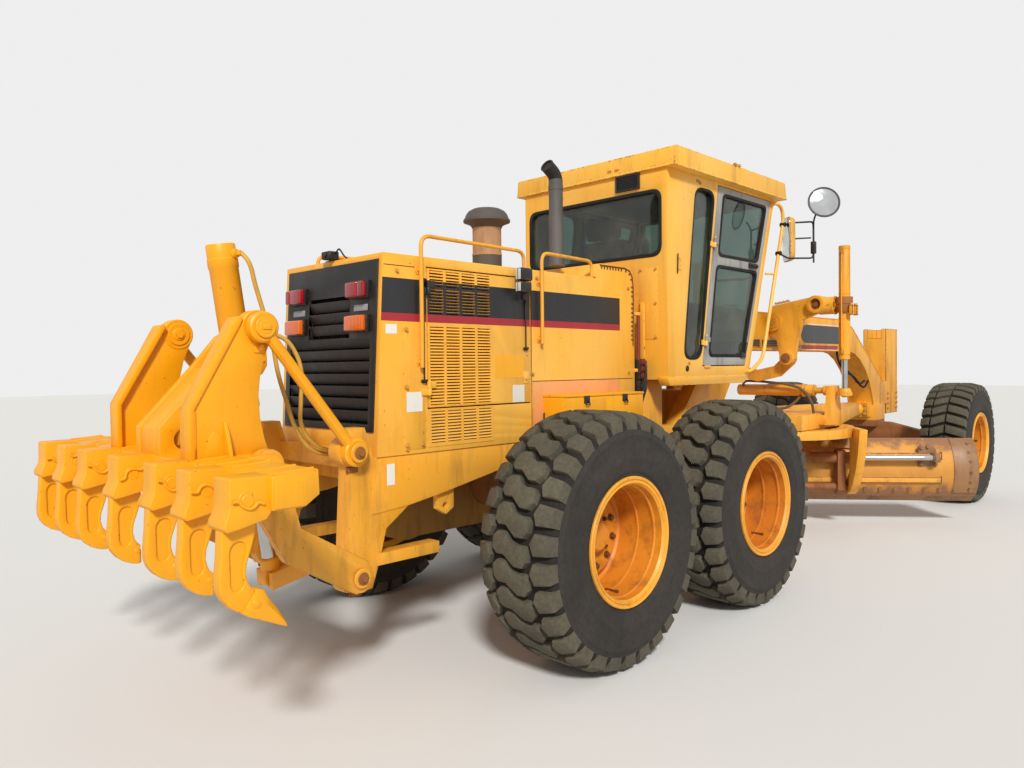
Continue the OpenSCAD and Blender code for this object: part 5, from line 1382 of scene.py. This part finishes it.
# Upper links: round bars forged with an eye at each end, that hold the beam level over the lower
# arms. They turn on pins in the towers and in the frame's posts.
links = bmesh.new()
low, high = (-2100, 1306), EYE
pair(links, tube([(532.5, *low), (532.5, *high)], 30))
for y, z in (low, high):
    eye = turned([(35.3, -27), (66, -27), (75, -20), (75, 20), (66, 27), (35.3, 27), (35.3, -27)], 48)
    pair(links, moved(eye, Matrix.Translation(at(532.5, y, z)) @ ALONG_X))
finished(links, "ripper_upper_links_forged", "rip_link", [fresh_amber],
         ["ripper_upper_links"])

# Ripper cylinder: a drawn steel tube with a flat end cap, a screwed gland and two trunnions that
# turn in the middle tower. Its rod is hard-chromed and ends in a forged eye at its foot.
FOOT = (-2300, 600)
CYLINDER_LENGTH = math.hypot(TRUNNION[0] - FOOT[0], TRUNNION[1] - FOOT[1])
cylinder_lean = math.atan2(FOOT[0] - TRUNNION[0], TRUNNION[1] - FOOT[1])
along_cylinder = Matrix.Translation(at(0, *FOOT)) @ Matrix.Rotation(cylinder_lean, 4, "X")
at_trunnion = along_cylinder @ Matrix.Translation((0, 0, CYLINDER_LENGTH / 1000))
START = CYLINDER_LENGTH - 300
barrel = bmesh.new()
barrel_profile = [(38.6, START), (64, START), (68, START + 4), (68, START + 34), (73, START + 38),
                  (75, START + 46), (75, START + 790), (79, START + 796), (79, START + 842),
                  (76, START + 846), (76, START + 912), (72, START + 920), (0, START + 920)]
bore = [(0, START + 892), (38.6, START + 892), (38.6, START)]
into(barrel, moved(turned(barrel_profile + bore, 72), along_cylinder))
trunnion = turned([(0, 70), (60, 70), (60, 92), (52, 98), (39.8, 98), (39.8, 144), (36, 148), (0, 148)], 48)
pair(barrel, moved(trunnion, at_trunnion @ ALONG_X))
collar = turned([(75, -60), (90, -52), (90, 52), (75, 60), (75, -60)], 56)
into(barrel, moved(collar, at_trunnion))
# Ports: one below the cap and one under the trunnion, each a boss with a hexagon nut
PORT_BOSS = [(0, 60), (26, 60), (26, 84), (22, 88), (22, 96), (0, 96)]
PORT_NUT = [(0, 94), (15, 94), (17, 98), (17, 116), (12, 120), (0, 120)]
for height, angle in ((START + 862, 0.5), (START + 426, 1.0)):
    up = Matrix.Translation((0, 0, height / 1000))
    port = along_cylinder @ up @ Matrix.Rotation(angle, 4, "Z") @ ALONG_X
    for profile, steps in ((PORT_BOSS, 24), (PORT_NUT, 6)):
        into(barrel, moved(turned(profile, steps), port))
finished(barrel, "ripper_barrel_turned", "rip_cyl", [fresh_amber], ["ripper_barrel"])

plated_rod = polished("rod_hard_chrome", "#D8DADC", 0.08)
rod = bmesh.new()
into(rod, moved(turned([(0, 40), (36, 40), (38, 44), (38, 946), (36, 950), (0, 950)], 56), along_cylinder))
foot_eye = turned([(0, -40), (60, -40), (65, -35), (65, 35), (60, 40), (0, 40)], 48)
into(rod, moved(foot_eye, along_cylinder @ ALONG_X), material=1)
foot_collar = turned([(38, 50), (54, 40), (50, 96), (42, 104), (38, 104), (38, 50)], 40)
into(rod, moved(foot_collar, along_cylinder), material=1)
finished(rod, "ripper_rod_plated", "rip_piston", [plated_rod, fresh_amber], ["ripper_rod"])

# Hoses of the ripper's cylinder: wire-braided rubber, sprayed amber with it. They hang from its two
# ports to the frame's rear cross plate.
def hose(name, body, material, diameter, route):
    """A free hose through given points, eased at each of them."""
    line = bpy.data.curves.new(name, "CURVE")
    line.dimensions = "3D"
    line.bevel_depth = diameter / 2000
    line.bevel_resolution = 4
    line.resolution_u = 8
    line.use_fill_caps = True
    spline = line.splines.new("BEZIER")
    spline.bezier_points.add(len(route) - 1)
    for point, spot in zip(spline.bezier_points, route):
        point.co = at(*spot)
        point.handle_left_type = point.handle_right_type = "AUTO"
    line.materials.append(material)
    piece = bpy.data.objects.new(name, line)
    bpy.context.scene.collection.objects.link(piece)
    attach(piece, body)
    bpy.context.view_layer.update()
    return piece


painted_hose = enamel("hose_sprayed_amber", "#D9A032", "#C89A3C", "#6B5324", 0.8, gloss=0.5, soiling=0.3)
hose("ripper_hose_long", "rip_cyl", painted_hose, 24, [(105, -2499, 2364), (135, -2476, 2318),
                                                       (140, -2441, 2194), (140, -2397, 2053),
                                                       (135, -2350, 1910), (130, -2311, 1721),
                                                       (135, -2267, 1572), (150, -2220, 1421),
                                                       (180, -2140, 1300), (215, -2022, 1262)])
hose("ripper_hose_arched", "rip_cyl", painted_hose, 24, [(65, -2393, 1936), (95, -2345, 1940),
                                                         (125, -2270, 1915), (145, -2212, 1835),
                                                         (160, -2186, 1719), (170, -2200, 1570),
                                                         (185, -2206, 1440), (215, -2140, 1330),
                                                         (250, -2022, 1280)])

# Frame side of the links and arms: turned steel pins with hexagon heads gone brown, and a small
# keeper plate beside each.
post_pins = bmesh.new()
for y, z in ((-2100, 1306), (-2090, 642)):
    pair(post_pins, pin((570, y, z), (579, y, z), 52, 48, chamfer=3))
    pair(post_pins, pin((579, y, z), (585, y, z), 34, 32, chamfer=2), material=1)
    pair(post_pins, bolt((585, y, z), (1, 0, 0), 30, head=12), material=1)
    pair(post_pins, block((485, 503), (y - 30, y + 40), (z - 112, z - 78)), material=1, width=4)
finished(post_pins, "link_pins_on_frame", "rear_body", [frame_yellow, cast_brown])


# Front frame: a tapering box beam welded of thick plate, with a bare black panel on each flank
# between thin white lines and a red stripe, and weld beads along its corners.
BEAM_X = 165
softened("front_frame", 6, frame_yellow)
panel_black = enamel("beam_panel_black", "#23262C", "#2B2D31", "#6B5C45", 0.6, gloss=0.3, soiling=0.25)
panel_red = enamel("beam_stripe_red", "#A3222B", "#8E2A2B", "#5C3A2A", 0.6, gloss=0.35, soiling=0.3)
panel_white = enamel("beam_line_white", "#E6E2D8", "#D5CEBE", "#8A7C66", 0.6, gloss=0.4, soiling=0.3)
band = bmesh.new()
half_turn = [math.pi * i / 12 for i in range(13)]
PANEL_REAR = [(4300 - 140 * math.sin(turn), 2091 + 104 * math.cos(turn)) for turn in half_turn]
face = (BEAM_X + 0.4, BEAM_X + 2.2)
pair(band, plate("X", *face, [(5290, 2195), *PANEL_REAR, (5230, 1987)]))
pair(band, plate("X", *face, [(4360, 2212), (5300, 2212), (5298, 2202), (4350, 2202)]), material=1)
pair(band, plate("X", *face, [(4150, 1963), (5215, 1963), (5190, 1920), (4180, 1920)]), material=2)
pair(band, plate("X", *face, [(4185, 1915), (5188, 1915), (5182, 1903), (4195, 1903)]), material=1)
finished(band, "beam_bands", "front_body", [panel_black, panel_white, panel_red])

front_extras = bmesh.new()
for run in ([(1700, 1455), (1980, 1456), (2500, 2231), (2760, 2290), (5399, 2290), (5659, 2200),
             (6459, 1680), (6748, 1500)], [(3060, 1905), (5559, 1905), (5719, 1880), (5919, 1800),
                                           (6109, 1665), (6259, 1500), (6349, 1330), (6398, 1195)]):
    pair(front_extras, tube([(BEAM_X - 1, y, z) for y, z in run], 7))
# Bolted joint of the upright, and its corner posts folded over
for z in (1130, 1200, 1270, 1340):
    pair(front_extras, bolt((150, 6960, z), (1, 0, 0), 30), material=1)
    pair(front_extras, bolt((150, 7290, z), (1, 0, 0), 30), material=1)
pair(front_extras, block((120, 153), (6902, 6950), (1055, 2220)), width=5)
pair(front_extras, block((120, 153), (7310, 7349), (1055, 2220)), width=5)
# Hose clamps along the beam's flank, and the steel lines that they hold
for y in (2900, 3150, 3900, 4060):
    pair(front_extras, block((BEAM_X, BEAM_X + 26), (y - 18, y + 18), (1925, 2010)), material=1, width=4)
for z in (1946, 1972, 1996):
    line = [(BEAM_X + 13, 2560, z - 120), (BEAM_X + 13, 2800, z), (BEAM_X + 13, 4110, z),
            (BEAM_X - 20, 4130, z)]
    pair(front_extras, tube(line, 9, bend=60), material=2)
# Caps of the drawbar ball's socket
pair(front_extras, block((70, 128), (6262, 6286), (1046, 1214)), width=6)
for z in (1070, 1130, 1190):
    pair(front_extras, bolt((108, 6262, z), (0, -1, 0), 26), material=1)
line_steel = enamel("hydraulic_line_steel", "#3C3A38", "#4A4540", "#75603F", 0.8, gloss=0.45, soiling=0.4)
finished(front_extras, "front_frame_welds_and_lines", "front_body",
         [frame_yellow, bolt_steel, line_steel])


# Lift arms: bent plates bolted over the beam, with bored bosses. Heads of the saddle bolts on top,
# pins in the bosses, and the open ends of the elbow tubes gone brown.
arm_bits = bmesh.new()
for x in (236, 278, 320, 362):
    for y in (3394, 3426):
        pair(arm_bits, bolt((x, y, 2378 + (x - 210) * 60 / 390), (-0.15, 0, 1), 22), material=1)
for x, y0, y1, z, radius, steps, chamfer, coat in (
        (215, 3338, 3350, 2190, 62, 40, 4, 0), (215, 3330, 3339, 2190, 34, 6, 0, 1),
        (362, 3338, 3350, 1812, 50, 40, 4, 2), (362, 3330, 3339, 1812, 28, 6, 0, 2),
        (676, 3368.5, 3372, 2350, 57, 48, 0, 2), (676, 3352, 3371, 2350, 26, 6, 0, 2)):
    pair(arm_bits, pin((x, y0, z), (x, y1, z), radius, steps, chamfer=chamfer), material=coat)
# Cap of the trunnion bearing, bolted to the elbow
pair(arm_bits, pin((745, 3650, 2350), (765, 3650, 2350), 96, 56, chamfer=5))
for i in range(6):
    a = math.tau * (i + 0.5) / 6
    spot = (765, 3650 + 76 * math.cos(a), 2350 + 76 * math.sin(a))
    pair(arm_bits, bolt(spot, (1, 0, 0), 18, head=8), material=1)
finished(arm_bits, "lift_arm_bolts_and_pins", "front_body",
         [frame_yellow, bolt_steel, cast_brown])

# Lift cylinders: drawn steel tubes with a welded cap and a gland at the foot, gripped by a trunnion
# band in two halves. The hard-chromed rods end in balls that sit in bolted caps on the drawbar.
LIFT_X, LIFT_Y = 850, 3650
for side, name in SIDES:
    place = Matrix.Translation(at(side * LIFT_X, LIFT_Y, 0))
    barrel = bmesh.new()
    sleeve = [(28.6, 1788), (48, 1788), (53, 1794), (53, 1822), (50, 1826), (50, 1836), (55, 1840),
              (55, 2204), (58, 2206), (58, 2214), (55, 2216), (55, 2456), (58, 2458), (58, 2468),
              (55, 2470), (55, 2904), (53, 2908), (56, 2912), (56, 2944), (51, 2950), (0, 2950), (0, 2909),
              (28.6, 2909), (28.6, 1788)]
    into(barrel, moved(turned(sleeve), place))
    ring = [(54, 2270), (78, 2272), (80, 2278), (80, 2344), (76, 2347), (76, 2353), (80, 2356), (80, 2422),
            (78, 2428), (54, 2430), (54, 2270)]
    into(barrel, moved(turned(ring), place), material=1)
    trunnion = turned([(0, 60), (35, 60), (35, 150), (31, 155), (0, 155)], 40)
    inwards = ALONG_X.inverted() if side > 0 else ALONG_X
    into(barrel, moved(trunnion, place @ Matrix.Translation((0, 0, 2.35)) @ inwards))
    for y in (-58, 58):
        into(barrel, on_side(side, block((920, 962), (LIFT_Y + y - 22, LIFT_Y + y + 22), (2238, 2338))),
             width=8)
        into(barrel, on_side(side, bolt((941, LIFT_Y + y, 2338), (0, 0, 1), 28)), material=2)
    # Port blocks and the steel line between them
    for z in (2880, 1868):
        into(barrel, on_side(side, block((836, 864), (3584, 3602), (z - 22, z + 22))), width=4)
    line = [(LIFT_X, 3590, 2862), (LIFT_X, 3574, 2830), (LIFT_X, 3574, 1920), (LIFT_X, 3590, 1884)]
    into(barrel, on_side(side, tube(line, 8, bend=30)))
    finished(barrel, "lift_barrel_" + name + "_turned", "lift_cyl_" + name[0],
             [frame_yellow, cast_brown, bolt_steel], ["lift_barrel_" + name])
    rod = bmesh.new()
    into(rod, moved(turned([(0, 1490), (28, 1490), (28, 2646), (26, 2650), (0, 2650)], 48), place))
    ball = [(52 * math.sin(math.pi * i / 16), 1452 - 52 * math.cos(math.pi * i / 16)) for i in range(17)]
    into(rod, moved(turned(ball, 40), place))
    cap = [(40, 1420), (74, 1420), (74, 1440), (66, 1446), (66, 1462), (56, 1490), (48, 1494), (44, 1488),
           (40, 1420)]
    into(rod, moved(turned(cap, 48), place), material=1)
    for i in range(6):
        a = math.tau * i / 6 + 0.3
        spot = (side * LIFT_X + 66 * math.cos(a), LIFT_Y + 66 * math.sin(a), 1440)
        into(rod, bolt(spot, (0, 0, 1), 16), material=2)
    finished(rod, "lift_rod_" + name + "_plated", "lift_piston_" + name[0],
             [plated_rod, frame_yellow, bolt_steel], ["lift_rod_" + name])


# Blade group. Shapes are drawn square to the blade, u along it and v forward of the circle's
# centre, and turned to the blade's yaw together.
CIRCLE_Y = 3720
BLADE_YAW = 37
BLADE_FRAME = (Matrix.Translation(at(0, CIRCLE_Y, 0)) @ Matrix.Rotation(math.radians(BLADE_YAW), 4, "Z")
               @ Matrix.Translation((0, PART_ORIGIN_Y / 1000, 0)))


def on_blade(shape):
    return moved(shape, BLADE_FRAME)


def worn_blade():
    """Mouldboard skin: scoured steel gone to brown rust, with the old yellow left between the rails."""
    material, tree = blank_material("mouldboard_scoured_rusty")
    place = node(tree, "TexCoord").outputs["Object"]
    axes = node(tree, "SeparateXYZ", {"Vector": place})
    patchy = node(tree, "TexNoise", {"Vector": place, "Scale": 5.0, "Detail": 8.0, "Roughness": 0.7})
    height = node(tree, "Math", {0: patchy, 1: 0.5, 2: -0.25}, operation="MULTIPLY_ADD")
    level = node(tree, "Math", {0: axes.outputs["Z"], 1: height}, operation="ADD")
    top = node(tree, "MapRange", {"Value": level, "From Min": 0.80, "From Max": 0.88})
    foot = node(tree, "MapRange", {"Value": level, "From Min": 0.47, "From Max": 0.36})
    paint = node(tree, "Mix", {"Factor": patchy, "A": linear("#DE9E3A"), "B": linear("#B97A36")},
                 data_type="RGBA")
    brown = node(tree, "Mix", {"Factor": patchy, "A": linear("#7E5743"), "B": linear("#A4713F")},
                 data_type="RGBA")
    bare = node(tree, "Math", {0: top, 1: foot}, operation="MAXIMUM")
    colour = node(tree, "Mix", {"Factor": bare, "A": paint, "B": brown}, data_type="RGBA")
    scratch_place = node(tree, "Mapping", {"Vector": place, "Scale": (3.0, 3.0, 60.0)})
    scratch = node(tree, "TexNoise", {"Vector": scratch_place, "Scale": 6.0, "Detail": 6.0,
                                      "Roughness": 0.7})
    scored = node(tree, "MapRange", {"Value": scratch, "From Min": 0.55, "From Max": 0.75, "To Max": 0.6})
    colour = node(tree, "Mix", {"Factor": scored, "A": colour, "B": linear("#5A4234")}, data_type="RGBA")
    bump = node(tree, "Bump", {"Height": scratch, "Strength": 0.15, "Distance": 0.002})
    skin = node(tree, "BsdfPrincipled", {"Base Color": colour, "Normal": bump, "Roughness": 0.5,
                                         "Metallic": 0.15})
    node(tree, "OutputMaterial", {"Surface": skin})
    return material


mouldboard_steel = worn_blade()
edge_steel = enamel("cutting_edge_scoured_steel", "#86603F", "#9A7048", "#4E3524", 1.0, soiling=0.5)
rail_yellow = enamel("mouldboard_rail_enamel", "#E8A738", "#DB9C40", "#8A5A33", 2.0, soiling=0.5,
                     streaks=0.3)
ARC_V, ARC_Z, ARC_IN, ARC_OUT = 333, 584, 413, 438
HALF_BLADE = 2135


def arc_at(radius, z):
    """Where the mouldboard's curve of a radius stands at a height, as (v, z)."""
    return (ARC_V - math.sqrt(radius ** 2 - (z - ARC_Z) ** 2), z)


def curved_strip(u0, u1, inner, outer, low, high, steps=26):
    heights = [low + (high - low) * i / steps for i in range(steps + 1)]
    outline = [arc_at(outer, z) for z in heights] + [arc_at(inner, z) for z in reversed(heights)]
    return plate("X", u0, u1, outline)


board = bmesh.new()
into(board, on_blade(curved_strip(-HALF_BLADE, HALF_BLADE, ARC_IN, ARC_OUT, 302, 926)), width=3)
EDGE = [(85, 240), (105, 240), (32, 330), (5, 322)]
for u0 in (-2133, -1066, 1, 1068):
    into(board, on_blade(plate("X", u0, u0 + 1065, EDGE)), material=1, width=2)
for low, deep in ((462, -82), (722, -66)):
    rail = [(-117, low), (-117, low + 56), (-108, low + 60), (deep + 8, low + 60), (deep + 8, low),
            (-110, low - 2)]
    into(board, on_blade(plate("X", -1750, 1750, rail)), material=2, width=5)
for u in (-1757, 1757):
    for low in (452, 712):
        into(board, on_blade(block((u - 6, u + 6), (-122, -70), (low, low + 80))), material=2, width=3)
# Edge bolts with their nuts on the back, and the bolted end plates
EDGE_BOLTS, BOLT_PITCH = 28, 152.4
v, z = arc_at(ARC_OUT, 385)
out = Vector((0, v - ARC_V, z - ARC_Z)).normalized()
for i in range(EDGE_BOLTS):
    into(board, on_blade(bolt((-2058 + i * BOLT_PITCH, v, z), out, 30, head=18)), material=1)
for side in (1, -1):
    low_u, high_u = sorted((side * 1885, side * 2133))
    into(board, on_blade(curved_strip(low_u, high_u, ARC_OUT - 1, ARC_OUT + 7, 345, 924)), material=1,
         width=2)
    into(board, on_blade(curved_strip(low_u, high_u, ARC_IN - 14, ARC_IN + 1, 345, 900)), material=1,
         width=3)
    for z in (874, 786, 688, 569, 461, 386):
        v, z0 = arc_at(ARC_OUT + 7, z)
        out = Vector((0, v - ARC_V, z - ARC_Z)).normalized()
        start = Vector((side * 2050, v, z0)) - out * 5
        # A dark disc round each bolt stands for its hole, as painted shade
        into(board, on_blade(pin(tuple(start), tuple(start + out * 6), 16, 20)), material=3)
        into(board, on_blade(pin(tuple(start), tuple(start + out * 9), 11, 6)), material=1)
# Bracket that takes the shift rod's end: a block behind a bolted plate, and its two pins
into(board, on_blade(block((1642, 1698), (-232, -66), (694, 786))), material=1, width=8)
bracket = [(1520, 640), (1520, 850), (1545, 872), (1640, 872), (1700, 820), (1712, 660), (1690, 640)]
into(board, on_blade(plate("Y", -116, -88, bracket)), material=1, width=5)
for u, z in ((1545, 840), (1610, 850), (1545, 670), (1690, 664)):
    into(board, on_blade(bolt((u, -116, z), (0, -1, 0), 30)), material=1)
into(board, on_blade(pin((1670, -236, 740), (1670, -222, 740), 26, chamfer=3)), material=1)
into(board, on_blade(pin((1630, -190, 740), (1642, -190, 740), 42, 32, chamfer=4)), material=1)
# Near black painted shade in the bolts' holes
hole_dark = enamel("bolt_hole_painted_shade", "#1C1815", "#241D18", "#3A2C20", 0.0, gloss=0.7)
finished(board, "moldboard_rolled", "blade_body", [mouldboard_steel, edge_steel, rail_yellow,
                                                                 hole_dark], ["moldboard"])

barrel = bmesh.new()
shift_profile = [(31, -548), (31, 926), (44, 926), (52, 922), (58, 914), (58, 886), (54, 882), (54, 874),
                 (60, 870), (60, -560), (56, -572), (56, -592), (50, -600), (0, -600), (0, -550),
                 (31, -550)]
shift_axis = Matrix.Translation(at(0, -190, 740)) @ ALONG_X
into(barrel, on_blade(moved(turned(shift_profile, 56), shift_axis)))
for u in (-610, 840):
    into(barrel, on_blade(block((u - 24, u + 24), (-212, -168), (796, 822))), width=5)
into(barrel, on_blade(tube([(-610, -190, 816), (-560, -190, 836), (780, -190, 836), (840, -190, 816)], 9,
                           bend=40)))
finished(barrel, "shift_barrel_turned", "carrier_body", [cast_brown], ["shift_barrel"])
rod = bmesh.new()
into(rod, on_blade(moved(turned([(0, 100), (27, 100), (29.7, 104), (29.7, 1639.7), (0, 1639.7)], 48),
                         shift_axis)))
finished(rod, "shift_rod_plated", "blade_body", [plated_rod], ["shift_rod"])

# Bolts of the circle's ring and of its two arms: zinced steel, painted over with the rest. The blade
# carrier's pivot caps are turned steel gone brown.
circle_bits = bmesh.new()
for side in (1, -1):
    for v, z in ((-300, 560), (-330, 640), (-380, 720), (-430, 800), (-470, 880)):
        into(circle_bits, on_blade(bolt((side * 840, v - 40, z), (side, 0, 0), 22)))
    into(circle_bits, on_blade(pin((side * 838, -200, 430), (side * 852, -200, 430), 62, 40, chamfer=4)),
         material=1)
for u, v in round_outline(0, 0, 790, 48):
    into(circle_bits, on_blade(bolt((u, v, 1072), (0, 0, 1), 20, head=6)))
finished(circle_bits, "circle_bolts", "circle_body", [bolt_steel, cast_brown])


# Free hoses of the front end, of wire-braided rubber: one above and one below the cylinder that
# shifts the drawbar, and a pair that hangs under the gooseneck.
hose_black = rubber("hose_rubber_black", "#1B1A19", "#3C3832", 0.3, 70)
hose_brown = rubber("hose_rubber_muddy", "#5A4632", "#7A6448", 0.5, 70)
hose("shift_hose_upper", "drawbar_body", hose_brown, 28, [(-230, 3560, 1516), (-190, 3520, 1558),
                                                          (-60, 3505, 1566), (140, 3500, 1552),
                                                          (330, 3505, 1530), (470, 3520, 1470),
                                                          (540, 3545, 1370), (560, 3580, 1232)])
hose("shift_hose_lower", "drawbar_body", hose_brown, 28, [(420, 3575, 1412), (380, 3540, 1350),
                                                          (300, 3500, 1290), (180, 3480, 1262),
                                                          (60, 3500, 1256), (-80, 3530, 1256),
                                                          (-200, 3560, 1240)])
for low, name in ((0, "first"), (45, "second")):
    hose("gooseneck_hose_" + name, "front_body", hose_black, 26,
         [(100 + low, 5330, 1905), (120 + low, 5330, 1790 - low), (130 + low, 5440, 1690 - low),
          (135 + low, 5620, 1640 - low), (130 + low, 5800, 1570 - low), (120 + low, 5960, 1500 - low),
          (110 + low, 6120, 1490 - low), (100 + low, 6250, 1520)])


# Corners of the box round the pieces shown, the floor left out.
low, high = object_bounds()
